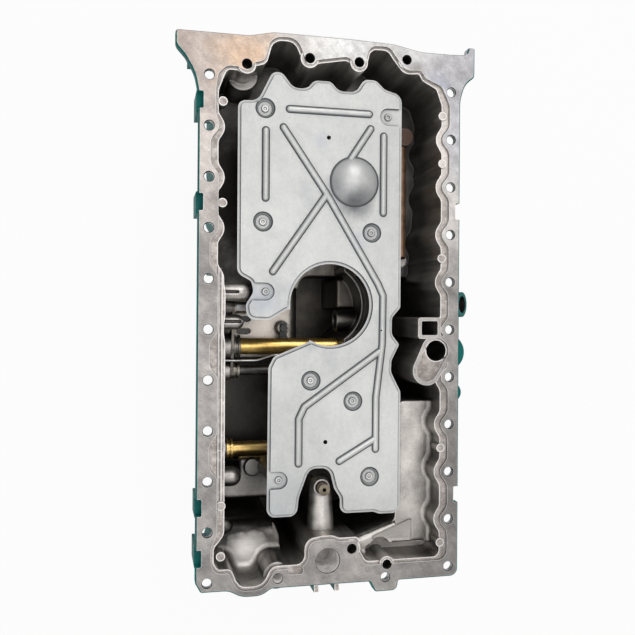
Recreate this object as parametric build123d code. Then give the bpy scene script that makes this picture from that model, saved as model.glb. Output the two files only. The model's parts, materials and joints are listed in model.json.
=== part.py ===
from build123d import *
import math
import os

# Engine oil pan, open side up. Sizes are in millimetres.
# The origin is the centre of the flange bolt pattern, on the machined sealing face.
# +X points to the side with the bored lug, +Y to the winged end, +Z out of the pan.

# Flange and its bolts
bolt_pitch = 50.0
bolt_rows = 11
bolt_line_x = 126.5
bolt_hole_r = 4.8
flange_t = 10.0
flange_margin = 10.5
flange_chamfer = 1.4
spot_face_r = 8.5
spot_face_deep = 4.0
notch_long = 17.0
notch_deep = 5.0
pad_proud = 1.5
tapped_hole_r = 4.6
wing_hole_deep = 20.0
top_hole_deep = 23.0
port_hole_deep = 18.0
low_hole_deep = 16.0
tapped_boss_r = 9.3
tapped_boss_deep = 32.0
slim_boss_r = 7.8

# Walls, ledge and floors
wall_t = 5.0
floor_t = 6.0
crest_inset = 15.5
valley_inset = 9.3
straight_inset = 17.0
ledge_deep = 3.0
ledge_w = 3.0
land_inset = 9.5
recess_inset = 1.5
shelf_deep = 29.0
pocket_deep = 58.0
high_floor_deep = 87.0
low_floor_deep = 110.0
slope_start_y = 150.0
slope_end_y = 45.0
sump_deep = 170.0
sump_top_y = 60.0
sump_step_x = -15.0
sump_step_y = -34.0
sump_foot_y = -206.0
shelf_edge_x = 77.0
shelf_top_y = -78.0
pin_r = 4.5
pin_proud = 1.2
right_pin_x = 117.8
left_pin_x = -113.0
shelf_foot_r = 5.0
pocket_foot_r = 8.0
lip_r = 16.0
step_lip_r = 12.0
wall_ledge_x = -43.0
wall_ledge_low_y = -194.0
wall_ledge_high_y = -148.0
wall_ledge_top_z = -102.0
wall_ledge_t = 14.0
lean_top_z = -40.0
lean_in = 10.0
lean_end_y = 58.0
trough_y = -231.0
trough_x = 44.0
trough_deep = 43.0
trough_lip_r = 4.0
ridge_lip_r = 7.0

# Side lug, window and port block
lug_x = 112.3
lug_y = -22.3
lug_bore_r = 11.0
lug_bore_deep = 70.0
lug_rim_w = 6.0
lug_groove_w = 2.2
lug_groove_deep = 2.5
lug_foot_x = 101.5
lug_foot_y = -43.0
lug_foot_r = 9.5
window_x = 104.2
window_y = 1.5
window_w = 18.0
window_h = 15.0
window_rim = 3.6
window_deep = 120.0
port_x = -4.3
port_y = -235.7
port_r = 12.5
port_wall = 7.0
tube_x = -3.4
tube_root_r = 15.0
tube_tip_r = 11.6
tube_axis_z = -39.0
tube_bore_r = 6.0
neck_x = -4.9
neck_y = -166.8
neck_r = 8.6
neck_top_z = -26.0
neck_bore_r = 6.7
neck_bore_deep = 4.0
side_port_y = 26.8
side_port_r = 13.5
side_port_bore_r = 9.2
side_port_tilt = 45.0
side_port_reach = 24.5

# Baffle plate
sheet_t = 1.5
rim_top_z = -24.5
panel_raise = 2.1
rim_w = 3.2
plate_left_gap = 15.5
plate_right_gap = 31.0
cutout_x = 2.6
cutout_y = 25.3
cutout_r = 43.0
bead_w = 8.6
bead_h = 2.2
dimple_r = 10.5
dimple_floor_r = 7.0
dimple_deep = 3.5
dome_x = 27.4
dome_y = 155.0
dome_r = 27.0
dome_h = 8.0
lug_pad_r = 9.3
rivet_r = 2.6
rivet_head_r = 4.1
rivet_head_h = 2.0
rivet_cup_r = 2.3
rivet_cup_deep = 1.1
rivet_deep = 9.0
pillar_r = 8.0
pillar_foot_r = 11.0

# Inner pipes and their fittings
pipe_wall = 1.2
feed_r = 9.0
feed_y = -20.7
feed_z = -92.0
suction_r = 8.8
suction_y = -142.5
suction_z = -134.0
drain_r = 5.6
drain_y = -48.0
drain_z = -98.0
drain_end_x = -32.0
vent_r = 1.3
vent_y = -36.2
vent_z = -84.0
side_pipe_r = 6.0
side_pipe_x = 91.5
side_pipe_z = -60.0
side_pipe_top_y = 213.0
side_pipe_end_y = 76.0
side_pipe_boss_r = 10.0
side_pipe_saddle_r = 8.0
wall_boss_x = -95.0
port_face_x = -112.5
collar_w = 7.5
collar_wall = 3.4
seal_wire_r = 1.0
seal_gap = 0.05
pipe_flange_t = 3.0
pipe_bolt_r = 3.0
pipe_bolt_head_r = 6.5
pipe_bolt_long = 12.0
clip_x = -34.5
clip_w = 8.0
clip_t = 1.4
clip_seat_z = -97.0
clip_bolt_y = -0.5
clip_bolt_r = 2.5
inner_wall_r = 44.0
inner_wall_t = 5.0
inner_wall_top_z = -58.0
pickup_x = 6.0
pickup_r = 24.0
pickup_h = 16.0
pickup_lift = 6.0
nipple_r = 5.9
nipple_h = 12.0
nipple_thread_r = 4.5
nipple_thread_long = 5.0
nipple_bore_r = 2.0
drain_plug_x = 10.0
drain_plug_y = -110.0
drain_thread_r = 9.0
drain_boss_r = 17.0
drain_head_r = 12.0
drain_head_h = 8.0
drain_washer_t = 1.5
thread_gap = 0.05

row_end = bolt_pitch * (bolt_rows - 1) / 2
rising_ys = [bolt_pitch * i - row_end for i in range(bolt_rows)]
gap_ys = [y + bolt_pitch / 2 for y in rising_ys[:-1]]
side_x = bolt_line_x + flange_margin
crest_x = bolt_line_x - crest_inset
valley_x = bolt_line_x - valley_inset
straight_x = bolt_line_x - straight_inset
plate_left = plate_left_gap - crest_x
plate_right = crest_x - plate_right_gap
panel_top_z = rim_top_z + panel_raise
seat_z = panel_top_z - dimple_deep - sheet_t
rim_seat_z = rim_top_z - sheet_t
base_z = -sump_deep - floor_t
top_tapped = [(-89.7, row_end + 13.0), (-26.0, row_end + 23.7), (25.7, row_end + 23.7), (77.0, row_end + 30.3)]
end_bolts = [(-55.7, -row_end), (57.3, -row_end - 6.7)]
port_tapped = (21.0, -row_end + 25.0)
low_tapped = (59.0, -row_end + 6.7)
dimples = [(-67.6, 226.6), (-69.4, 110.2), (47.0, 102.0), (-18.1, -53.9), (27.4, -76.2), (46.3, -156.7)]
pipe_bolts = [(22.0, -80.0, 14.0), (-50.0, -118.0, 5.0)]
lugs = [(64.5, 225.6, plate_right), (-66.3, 38.4, plate_left), (-51.5, -156.7, plate_left)]


def rounded_face(corners):
    """Face inside a closed outline of (x, y, corner radius), counter-clockwise."""
    kept = []
    for i, (x, y, r) in enumerate(corners):
        before = Vector(x - corners[i - 1][0], y - corners[i - 1][1])
        after = Vector(corners[(i + 1) % len(corners)][0] - x, corners[(i + 1) % len(corners)][1] - y)
        if before.length > 0.01 and before.get_angle(after) > 0.5:
            kept.append((x, y, r))
    turns = []
    for i, (x, y, r) in enumerate(kept):
        into = Vector(x - kept[i - 1][0], y - kept[i - 1][1])
        out = Vector(kept[(i + 1) % len(kept)][0] - x, kept[(i + 1) % len(kept)][1] - y)
        half_turn = math.radians(into.get_angle(out)) / 2
        reach = min(r * math.tan(half_turn), into.length / 2, out.length / 2)
        corner = Vector(x, y)
        inward = (out.normalized() - into.normalized()).normalized()
        sag = reach / math.tan(half_turn) * (1 / math.cos(half_turn) - 1)
        turns.append((corner - into.normalized() * reach, corner + inward * sag, corner + out.normalized() * reach))
    edges = []
    for i, (start, middle, end) in enumerate(turns):
        if (end - start).length > 0.02:
            edges.append(Edge.make_three_point_arc(start, middle, end))
        following = turns[(i + 1) % len(turns)][0]
        if (following - end).length > 0.001:
            edges.append(Edge.make_line(end, following))
    return Face(Wire(edges))


def parallel(corners, distance):
    """The same outline moved outward by a distance, or inward if it is negative."""
    moved = []
    for i, (x, y, r) in enumerate(corners):
        into = Vector(x - corners[i - 1][0], y - corners[i - 1][1]).normalized()
        after = corners[(i + 1) % len(corners)]
        out = Vector(after[0] - x, after[1] - y).normalized()
        normals = Vector(into.Y + out.Y, -into.X - out.X)
        shift = normals * (distance / (1 + into.dot(out)))
        grow = distance if into.cross(out).Z > 0 else -distance
        moved.append((x + shift.X, y + shift.Y, max(r + grow, 0.6)))
    return moved


def prism(face, top, bottom):
    """Upright solid with a face's outline between two heights."""
    return extrude(Pos(0, 0, bottom) * face, amount=top - bottom)


def post(x, y, r, top, bottom, foot_r=None):
    """Upright round post, straight or with a wider foot."""
    low = (Align.CENTER, Align.CENTER, Align.MIN)
    if foot_r is None:
        return Pos(x, y, bottom) * Cylinder(r, top - bottom, align=low)
    return Pos(x, y, bottom) * Cone(foot_r, r, top - bottom, align=low)


def bar_x(x0, x1, y, z, r):
    """Round bar along X."""
    return Pos(x0, y, z) * Rot(0, 90, 0) * Cylinder(r, x1 - x0, align=(Align.CENTER, Align.CENTER, Align.MIN))


def block(x0, x1, y0, y1, z0, z1):
    """Box between two corners."""
    return Pos((x0 + x1) / 2, (y0 + y1) / 2, (z0 + z1) / 2) * Box(x1 - x0, y1 - y0, z1 - z0)


def stadium(points, r):
    """Face of one width along a chain of points, round at its ends and turns."""
    face = None
    for (x0, y0), (x1, y1) in zip(points[:-1], points[1:]):
        angle = math.degrees(math.atan2(y1 - y0, x1 - x0))
        slot = SlotCenterToCenter(math.hypot(x1 - x0, y1 - y0), 2 * r)
        piece = Pos((x0 + x1) / 2, (y0 + y1) / 2) * Rot(0, 0, angle) * slot
        face = piece if face is None else face + piece
    return face


def floor_z(x, y):
    """Height of the pan's inner floor at a place."""
    if x > shelf_edge_x and y < shelf_top_y:
        return -shelf_deep
    if x < wall_ledge_x and y < wall_ledge_high_y:
        return wall_ledge_top_z
    in_left = x < sump_step_x and y < sump_step_y
    in_right = x >= sump_step_x and y < sump_top_y
    if y > sump_foot_y and (in_left or in_right):
        return -sump_deep
    share = min(max((slope_start_y - y) / (slope_start_y - slope_end_y), 0), 1)
    return -high_floor_deep - share * (low_floor_deep - high_floor_deep)


def side_wave(crests, valleys):
    """Corners up one long side: a crest at each bolt and a valley in each gap between."""
    corners = []
    for i, y in enumerate(rising_ys[1:-1]):
        if i > 0:
            corners.append((valleys[i - 1], y - 14, 9))
        corners.append((crests[i], y - 4, 14))
        corners.append((crests[i], y + 4, 14))
        if i < len(valleys):
            corners.append((valleys[i], y + 14, 9))
    return corners


def mouth_corners(right_crest, right_valley, left_crests, left_valleys):
    """Outline of the pan's mouth, counter-clockwise from the lower right corner."""
    low = -row_end
    high = row_end
    gaps = len(rising_ys) - 3
    right = [(right_valley, low + 10, 7), (right_valley, low + 36, 9)]
    right += side_wave([right_crest] * (gaps + 1), [right_valley] * gaps)
    right += [(right_valley, high - 36, 9), (right_valley, high - 14, 9), (right_crest, high + 3, 6)]
    top = [(95.5, high + 10.5, 12), (91.5, high + 17.5, 3)]
    top += [(75.0, high + 16, 14), (62.0, high + 32, 10), (57.0, high + 39, 9), (38.5, high + 39, 9)]
    for x, y in (top_tapped[2], top_tapped[1]):
        top += [(x + 8.5, y - 4, 8), (x + 5, y - 9, 6), (x - 5, y - 9, 6)]
        top.append((x - 11, y + 2, 6) if x > 0 else (x - 9, y + 2, 8))
    top += [(-41.0, high + 39.8, 12), (-63.0, high + 39.8, 12), (-69.5, high + 16, 8)]
    hole_x = top_tapped[0][0]
    top += [(hole_x + 8.5, high + 12, 4), (hole_x + 5, high + 4.2, 8), (hole_x - 5, high + 4.2, 8)]
    top += [(hole_x - 9, high + 7, 3), (-108.5, high + 7, 5), (-left_crests[-1] - 1.0, high, 6)]
    left = side_wave(left_crests, left_valleys) + [(valley_x, high - 36, 9), (valley_x, high - 14, 9)]
    left = [(-x, y, r) for x, y, r in reversed(left)]
    bottom = [(-119.8, low + 33, 9), (-119.8, low + 19, 8), (-116.0, low + 11.5, 6), (-102.5, low + 11.5, 6)]
    bottom += [(-97.5, low - 0.5, 8), (-92.0, low - 7.3, 14), (-71.0, low - 7.3, 14), (-61.5, low + 11.5, 10)]
    bottom += [(-28.0, low + 11.5, 9), (-27.5, low + 36.5, 12), (-9.0, low + 39.0, 14), (2.0, low + 39.0, 14)]
    bottom += [(8.0, low + 36.0, 10), (30.0, low + 36.0, 5), (30.0, low + 22, 12), (37.0, low + 10, 7)]
    return right + top + left + bottom


def cavity_corners():
    """Mouth below the ledge. The left wall runs straight past its middle bolts."""
    crests = [crest_x if y >= 0 else straight_x for y in rising_ys[1:-1]]
    valleys = [valley_x if y > bolt_pitch else straight_x for y in gap_ys[1:-1]]
    return mouth_corners(crest_x, valley_x, crests, valleys)


def land_corners():
    """Inner edge of the machined face. It draws back from every other left gap."""
    land_x = bolt_line_x - land_inset - ledge_w
    recess_x = bolt_line_x - recess_inset - ledge_w
    valleys = [recess_x if i % 2 else land_x - 2 for i in range(len(gap_ys) - 2)]
    valleys = [max(v, land_x) for v in valleys]
    crests = [land_x] * (len(rising_ys) - 2)
    return parallel(mouth_corners(land_x, recess_x, crests, valleys), ledge_w)


def flange_corners():
    """Outer edge of the flange with its two wings and the round bulge at the lower end."""
    high = row_end
    low = -row_end
    right = [(side_x + 0.5, low - 11, 8), (side_x, high - 8, 40), (side_x + 5, high + 9, 22)]
    right += [(153.0, high + 18, 6), (153.0, high + 48.7, 1.5), (146.0, high + 48.7, 1.5), (143.5, high + 41, 3)]
    top = [(126.0, high + 40, 20), (93.0, high + 40, 40), (63.0, high + 45.7, 60), (16.0, high + 47, 60)]
    top += [(-63.0, high + 47, 40), (-87.0, high + 41.7, 40), (-159.5, high + 41.7, 3)]
    left = [(-159.5, high + 27, 9), (-150.5, high + 17, 4), (-141.0, high + 1, 40), (-side_x, high - 20, 40)]
    left += [(-side_x - 1, low + 0.5, 6), (-132.5, low - 9.3, 3)]
    bottom = [(-105.0, low - 9.5, 20), (-92.0, low - 16.7, 24), (-72.0, low - 16.7, 24), (-62.0, low - 10, 8)]
    bottom += [(40.5, low - 10.5, 3), (46.5, low - 21.5, 4), (70.0, low - 21.5, 9), (71.5, low - 11, 2)]
    return right + top + left + bottom


sump_corners = [
    (-150, sump_foot_y, 5), (-52, sump_foot_y, 12), (-45, -row_end + 26, 12), (-40, -row_end - 40, 5),
    (22, -row_end - 40, 5), (27, sump_foot_y - 18, 8), (shelf_edge_x, sump_foot_y - 1, 8),
    (shelf_edge_x, shelf_top_y, 10), (150, shelf_top_y, 5), (150, sump_top_y, 5),
    (sump_step_x, sump_top_y, 14), (sump_step_x, sump_step_y, 14), (-150, sump_step_y, 5),
]
shelf_corners = [
    (shelf_edge_x - 20, shelf_top_y + 10, 5), (shelf_edge_x - 20, sump_foot_y + 24, 5),
    (16, sump_foot_y + 4, 5), (16, -row_end - 50, 5), (150, -row_end - 50, 5), (150, shelf_top_y + 10, 5),
]
trough_corners = [
    (trough_x, -row_end - 50, 5), (150, -row_end - 50, 5), (150, trough_y - 2, 5), (96, trough_y, 20),
    (trough_x, trough_y, 6),
]
pocket_corners = [
    (-150, -row_end - 40, 5), (-22, -row_end - 40, 5), (-30, sump_foot_y + 12, 5), (-150, sump_foot_y + 12, 5),
]
upper_corners = [
    (-150, sump_step_y, 5), (sump_step_x + 20, sump_step_y, 5), (sump_step_x + 20, sump_top_y - 10, 5),
    (150, sump_top_y - 10, 5), (150, row_end + 80, 5), (-150, row_end + 80, 5),
]


def floor_wedge(drop):
    """Fill under the upper floor, which slopes down towards the sump."""
    high = -high_floor_deep - drop
    low = -low_floor_deep - drop
    side = Polyline(
        (slope_end_y, low), (slope_start_y, high), (row_end + 90, high), (row_end + 90, low - 1), (slope_end_y, low - 1),
        close=True,
    )
    return Pos(-160, 0, 0) * extrude(Plane.YZ * make_face(side), amount=320)


def shell_outside():
    """Outer walls and floors of the pan, each zone as deep as its floor."""
    outline = rounded_face(parallel(cavity_corners(), wall_t))
    solid = prism(outline, -1, -shelf_deep - floor_t)
    solid += prism(outline & rounded_face(parallel(pocket_corners, wall_t)), -1, -pocket_deep - floor_t)
    upper = prism(outline & rounded_face(parallel(upper_corners, wall_t)), -1, -low_floor_deep - floor_t)
    solid += upper - floor_wedge(floor_t)
    solid += prism(outline & rounded_face(parallel(trough_corners, wall_t)), -1, -trough_deep - floor_t)
    solid += prism(outline & rounded_face(parallel(sump_corners, wall_t)), -1, base_z)
    return solid


def lip(start, end, deep, r):
    """Round-over of a floor's edge, as the stock to cut away. The floor lies right of the line."""
    long = math.dist(start, end)
    angle = math.degrees(math.atan2(end[1] - start[1], end[0] - start[0]))
    corner = block(0, long, -r, 0, -r, 1) - bar_x(-1, long + 1, -r, -r, r)
    return Pos(start[0], start[1], -deep) * Rot(0, 0, angle) * corner


def inside_zones():
    """Spaces inside the pan below the ledge, one for each floor, with rounded feet and lips."""
    outline = rounded_face(cavity_corners())
    shelf = prism(outline & rounded_face(shelf_corners), 1, -shelf_deep)
    shelf = fillet(shelf.edges().group_by(Axis.Z)[0], shelf_foot_r)
    sump = prism(outline & rounded_face(sump_corners), 1, -sump_deep)
    upper = prism(outline & rounded_face(upper_corners), 1, -low_floor_deep) - floor_wedge(0)
    pocket = prism(outline & rounded_face(pocket_corners), 1, -pocket_deep)
    pocket = fillet(pocket.edges().group_by(Axis.Z)[0], pocket_foot_r)
    low_x, low_y = low_tapped
    trough = outline & (rounded_face(trough_corners) + Pos(low_x + 1.5, low_y + 6) * Circle(12.5))
    trough = prism(trough, 1, -trough_deep)
    pocket_lip = lip((-150, sump_foot_y), (-52, sump_foot_y), pocket_deep, lip_r)
    pocket_lip = pocket_lip & prism(outline, 0, -sump_deep)
    step_lip = lip((sump_step_x, slope_end_y), (sump_step_x, sump_step_y + 14), low_floor_deep, step_lip_r)
    ridge_lip = lip((32, sump_foot_y - 16.5), (shelf_edge_x, sump_foot_y - 1), shelf_deep, ridge_lip_r)
    trough_lip = lip((110, trough_y), (74, trough_y), shelf_deep, trough_lip_r)
    hollow = [(50, -223, 3), (55, trough_y + 3, 3), (96, trough_y + 3, 3), (96, sump_foot_y + 1, 2)]
    dip = prism(rounded_face(hollow), -shelf_deep + 1, -shelf_deep - 1.6)
    return [shelf, sump, upper, pocket, trough, pocket_lip, step_lip, ridge_lip, trough_lip, dip]


def notches():
    """Clearance notches in both long edges of the flange."""
    cut = None
    left = [gap_ys[0] - 0.5, gap_ys[1] - 0.5, gap_ys[7], gap_ys[9]]
    right = [gap_ys[1] + 0.5, gap_ys[7]]
    for sign, ys in ((-1, left), (1, right)):
        for y in ys:
            edge = sign * (side_x + 6 - notch_deep)
            piece = Pos(edge, y) * RectangleRounded(12, notch_long, 1.5)
            cut = piece if cut is None else cut + piece
    return prism(cut, 1, -flange_t - 1)


def side_pads():
    """Machining pads on the outer left wall, seen through the notches, and the clamp pad of the wing."""
    solid = None
    for y in (gap_ys[0] - 0.5, gap_ys[1] - 0.5, gap_ys[7], gap_ys[9]):
        pad = block(-side_x - pad_proud, -straight_x - 2, y - 11, y + 11, -50, -flange_t + 2)
        solid = pad if solid is None else solid + pad
    solid += block(-147, -straight_x, row_end + 12, row_end + 25, -28, -flange_t + 1)
    return solid


def gussets():
    """Thin ribs outside the right wall, from the flange down to the deep floor."""
    solid = None
    for y in gap_ys[1:-1]:
        if abs(y - side_port_y) < bolt_pitch or abs(y - lug_y) < bolt_pitch:
            continue
        foot = -shelf_deep - floor_t if y < shelf_top_y else -high_floor_deep
        side = Polyline(
            (valley_x, -flange_t + 1), (side_x - 7, -flange_t + 1), (valley_x + wall_t, foot), (valley_x, foot),
            close=True,
        )
        rib = Pos(0, y + 2, 0) * extrude(Plane.XZ * make_face(side), amount=4)
        solid = rib if solid is None else solid + rib
    return solid


def lug_outline(grow):
    """Teardrop round the lug bore and the foot of its groove."""
    chain = make_hull([
        *(Pos(lug_x, lug_y) * Circle(lug_bore_r + grow)).edges(),
        *(Pos(lug_foot_x, lug_foot_y) * Circle(lug_foot_r + grow)).edges(),
    ])
    return chain


def lug_solid():
    """Bored lug that leans on the right wall, with the square drain chimney above it."""
    floor = -sump_deep - 1
    solid = prism(lug_outline(lug_rim_w), 0, floor)
    chimney = Pos(window_x, window_y) * RectangleRounded(window_w + 2 * window_rim, window_h + 2 * window_rim, 3)
    solid += prism(chimney, 0, floor)
    return solid


def lug_cuts():
    """Bore, its sunk groove, and the chimney with its drain slot into the sump."""
    cut = prism(lug_outline(lug_groove_w), 1, -lug_groove_deep)
    cut += post(lug_x, lug_y, lug_bore_r, 1, -lug_bore_deep)
    hole = Pos(window_x, window_y) * RectangleRounded(window_w, window_h, 2)
    cut += prism(hole, 1, -window_deep)
    reach = window_w / 2 + window_rim + 3
    cut += block(window_x - reach, window_x, window_y - 5, window_y + 5, -window_deep, -window_deep + 24)
    return cut


def tube_solid():
    """Tapered oil tube cast from the port block to the upright neck."""
    length = port_y + port_r - neck_y
    cone = Cone(tube_root_r, tube_tip_r, abs(length), align=(Align.CENTER, Align.CENTER, Align.MIN))
    solid = Pos(tube_x, port_y + port_r, tube_axis_z) * Rot(-90, 0, 0) * cone
    solid += Pos(tube_x, neck_y, tube_axis_z) * Sphere(tube_tip_r)
    solid += post(neck_x, neck_y, neck_r, neck_top_z, tube_axis_z)
    solid += post(port_x, port_y, port_r + port_wall, -1, tube_axis_z)
    solid += Pos(port_x, port_y, tube_axis_z) * Sphere(port_r + port_wall)
    solid += block(tube_x - 3, tube_x + 3, port_y + port_r, neck_y - 2, -sump_deep - 1, tube_axis_z)
    return solid


def tube_cuts():
    """Oil way: down the port, along the tube and up the neck."""
    cut = post(port_x, port_y, port_r, 1, tube_axis_z)
    cut += Pos(port_x, port_y, tube_axis_z) * Sphere(port_r)
    along = Cylinder(tube_bore_r, neck_y - port_y, align=(Align.CENTER, Align.CENTER, Align.MIN))
    cut += Pos(neck_x, port_y, tube_axis_z) * Rot(-90, 0, 0) * along
    cut += Pos(neck_x, neck_y, tube_axis_z) * Sphere(tube_bore_r)
    cut += post(neck_x, neck_y, nipple_thread_r + thread_gap, neck_top_z, tube_axis_z)
    cut += post(neck_x, neck_y, neck_bore_r, neck_top_z + 1, neck_top_z - neck_bore_deep)
    return cut


def side_port():
    """Round boss that leans out of the right wall, with the place of its bore."""
    return Pos(valley_x - 2, side_port_y, -46) * Rot(0, side_port_tilt, 0)


def outer_bosses():
    """Side port boss, bulges of the lug bore, and ribs under the port block."""
    low = (Align.CENTER, Align.CENTER, Align.MIN)
    solid = side_port() * Cylinder(side_port_r, side_port_reach + 20, align=low)
    solid += post(128.3, lug_y - 2.2, 19.4, -flange_t - 1, -70)
    solid += post(134.5, -67.5, 10, -flange_t - 1, -50)
    for x in (port_x - 11.5, port_x + 10):
        solid += block(x - 2.5, x + 2.5, -row_end - 17.5, -row_end + 5, -34, -1)
    solid -= block(100, crest_x + 2, side_port_y - 30, side_port_y + 30, -90, 0)
    return solid


def side_port_cuts():
    """Blind stepped bore of the side port."""
    low = (Align.CENTER, Align.CENTER, Align.MIN)
    reach = side_port_reach + 20
    cut = side_port() * Pos(0, 0, reach - 18) * Cylinder(side_port_bore_r, 20, align=low)
    cut += side_port() * Pos(0, 0, reach - 24) * Cylinder(side_port_bore_r - 3.5, 10, align=low)
    return cut


def wall_bosses():
    """Round-ended bosses cast on the left wall, and the fat bosses that carry the pipe ends."""
    start = -valley_x - 1
    solid = None
    bosses = ((37.7, -28, 9.3, -91.5), (6.8, -44, 8, -94), (-161, -72, 10.5, -95), (-208, -50, 8.5, -104))
    for y, z, r, end_x in bosses:
        piece = bar_x(start, end_x, y, z, r) + Pos(end_x, y, z) * Sphere(r)
        solid = piece if solid is None else solid + piece
    for y, z, r in pipe_ends():
        solid += bar_x(port_face_x, wall_boss_x, y, z, r + collar_wall + 2)
    for y, z, head_h in pipe_bolts:
        solid += bar_x(-straight_x, wall_boss_x, y, z, 8)
    return solid


def lean_x(z, inset):
    """Place of the sump's left wall at a height, by its inset from the straight wall's inner face."""
    share = (z - lean_top_z) / (base_z - lean_top_z)
    return -straight_x + inset + share * lean_in


def leaning_wall():
    """Left wall of the sump, which leans in towards its floor, closed by a web at its upper end."""
    low_y = sump_foot_y - wall_t
    corners = [(lean_x(z, inset), z) for z, inset in (
        (lean_top_z, -wall_t), (base_z, -wall_t), (base_z, 0), (lean_top_z, 0),
    )]
    slab = extrude(Plane.XZ * make_face(Polyline(*corners, close=True)), amount=lean_end_y - low_y)
    web = [(-valley_x, lean_top_z), (-valley_x, -low_floor_deep - 1), corners[2], corners[3]]
    web = extrude(Plane.XZ * make_face(Polyline(*web, close=True)), amount=-wall_t)
    web = web & block(-150, 0, -1, wall_t + 1, -low_floor_deep - floor_t, 0)
    return Pos(0, lean_end_y, 0) * (slab + web)


def wall_relief():
    """Space outside the leaning wall, where the block's screws pass."""
    corners = [(-160, lean_top_z), (lean_x(lean_top_z, -wall_t), lean_top_z), (lean_x(base_z, -wall_t), base_z)]
    corners += [(lean_x(base_z, -wall_t), base_z - 1), (-160, base_z - 1)]
    side = make_face(Polyline(*corners, close=True))
    return Pos(0, lean_end_y, 0) * extrude(Plane.XZ * side, amount=lean_end_y - sump_foot_y)


def port_faces():
    """Round faces outside the left wall where the three pipe sockets come out."""
    solid = None
    for y, z, r in pipe_ends():
        piece = bar_x(port_face_x, wall_boss_x - 8, y, z, r + collar_wall)
        solid = piece if solid is None else solid + piece
    return solid


def pipe_ends():
    """Height, place and radius of the three pipes that plug into the left wall."""
    return [(feed_y, feed_z, feed_r), (drain_y, drain_z, drain_r), (suction_y, suction_z, suction_r)]


def wall_boss_cuts():
    """Pipe sockets through the left wall with their seal seats, and the blind bolt holes."""
    outside = -side_x - 5
    cut = bar_x(-side_x, wall_boss_x - 6, vent_y, vent_z, vent_r + thread_gap)
    for y, z, r, slit_end in ((37.7, -28, 9.3, -95.5), (7.4, -44, 8, -90.5)):
        cut += prism(stadium([(-straight_x, y), (slit_end, y)], 1.7), z + r + 1, z + r - 7)
    for y, z, r in pipe_ends():
        cut += bar_x(outside, wall_boss_x + 1, y, z, r - pipe_wall)
        cut += bar_x(wall_boss_x - 10, wall_boss_x + 1, y, z, r + thread_gap)
        seat_r = r + 2 * (seal_wire_r + seal_gap)
        cut += bar_x(wall_boss_x - 2 * (seal_wire_r + seal_gap), wall_boss_x + 1, y, z, seat_r)
    for y, z, head_h in pipe_bolts:
        cut += bar_x(wall_boss_x - pipe_bolt_long, wall_boss_x + 1, y, z, pipe_bolt_r + thread_gap)
    return cut


def floor_posts():
    """Posts that carry the baffle, each from the floor below it up to its seat."""
    solid = None
    for x, y in dimples:
        piece = post(x, y, pillar_r, seat_z, floor_z(x, y) - 2, pillar_foot_r)
        solid = piece if solid is None else solid + piece
    for x, y, edge in lugs:
        solid += post(x, y, pillar_r, rim_seat_z, floor_z(x, y) - 2, pillar_foot_r)
    return solid


def soft_block(x0, x1, y0, y1, z0, z1, r):
    """Box with all its edges rounded but those of its foot."""
    solid = block(x0, x1, y0, y1, z0, z1)
    return fillet(solid.edges() - solid.edges().group_by(Axis.Z)[0], r)


def pins():
    """Ejector pads on the ledge, each on its own rib down the wall."""
    solid = None
    right = [gap_ys[i] for i in (0, 2, 6, 8, 9)]
    left = [gap_ys[i] for i in (0, 1, 7, 9)]
    for x, ys in ((right_pin_x, right), (left_pin_x, left)):
        for y in ys:
            foot = floor_z(x, y)
            piece = post(x, y, pin_r, pin_proud - ledge_deep, -flange_t - 6)
            piece += post(x + (1.5 if x > 0 else -3), y, pin_r - 1, -flange_t, foot - 1)
            solid = piece if solid is None else solid + piece
    return solid


def inner_details():
    """Boss columns, the round inner wall with its socket, and the ledge of the left wall."""
    solid = pins()
    for x, y in top_tapped + [port_tapped]:
        solid += post(x, y, tapped_boss_r, -1, -tapped_boss_deep)
    solid += post(low_tapped[0], low_tapped[1], slim_boss_r, -1, -trough_deep - 1)
    left_x, left_y = top_tapped[0]
    solid += post(left_x, left_y, 16, -36, -high_floor_deep - 1)
    solid += post(end_bolts[0][0], end_bolts[0][1], 13.5, -flange_t + 1, -pocket_deep - 1)
    boss_top = side_pipe_z + side_pipe_r + 3
    solid += post(side_pipe_x + 2.5, side_pipe_top_y, side_pipe_boss_r, boss_top, -high_floor_deep - 1)
    solid += post(side_pipe_x, side_pipe_end_y, side_pipe_saddle_r, side_pipe_z, -low_floor_deep - 1)
    ring = Pos(cutout_x, cutout_y) * (Circle(inner_wall_r + inner_wall_t) - Circle(inner_wall_r))
    sector = Pos(cutout_x + 54, cutout_y) * Rectangle(60, 84)
    solid += prism(ring & sector, inner_wall_top_z, -sump_deep - 1)
    wall_x = cutout_x + inner_wall_r + 1
    solid += soft_block(27, wall_x, 22, 56, -sump_deep - 1, -94, 3)
    solid += bar_x(22, wall_x, 8, -84, 12.2)
    solid += soft_block(wall_x - 10, wall_x + 6, feed_y - 13, feed_y + 12, -sump_deep - 1, feed_z + 13, 4)
    solid += soft_block(-straight_x, wall_ledge_x, wall_ledge_low_y, -163, -sump_deep - 1, wall_ledge_top_z, 5)
    high_ledge = wall_ledge_top_z - wall_ledge_t
    solid += soft_block(-84, wall_ledge_x, -170, wall_ledge_high_y, high_ledge, wall_ledge_top_z, 5)
    solid += post(-68, -157.5, 9, wall_ledge_top_z + 4, wall_ledge_top_z - 2, 11)
    solid += post(clip_x, clip_bolt_y, 6.5, clip_seat_z, -low_floor_deep - 1, 8)
    return solid


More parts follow.
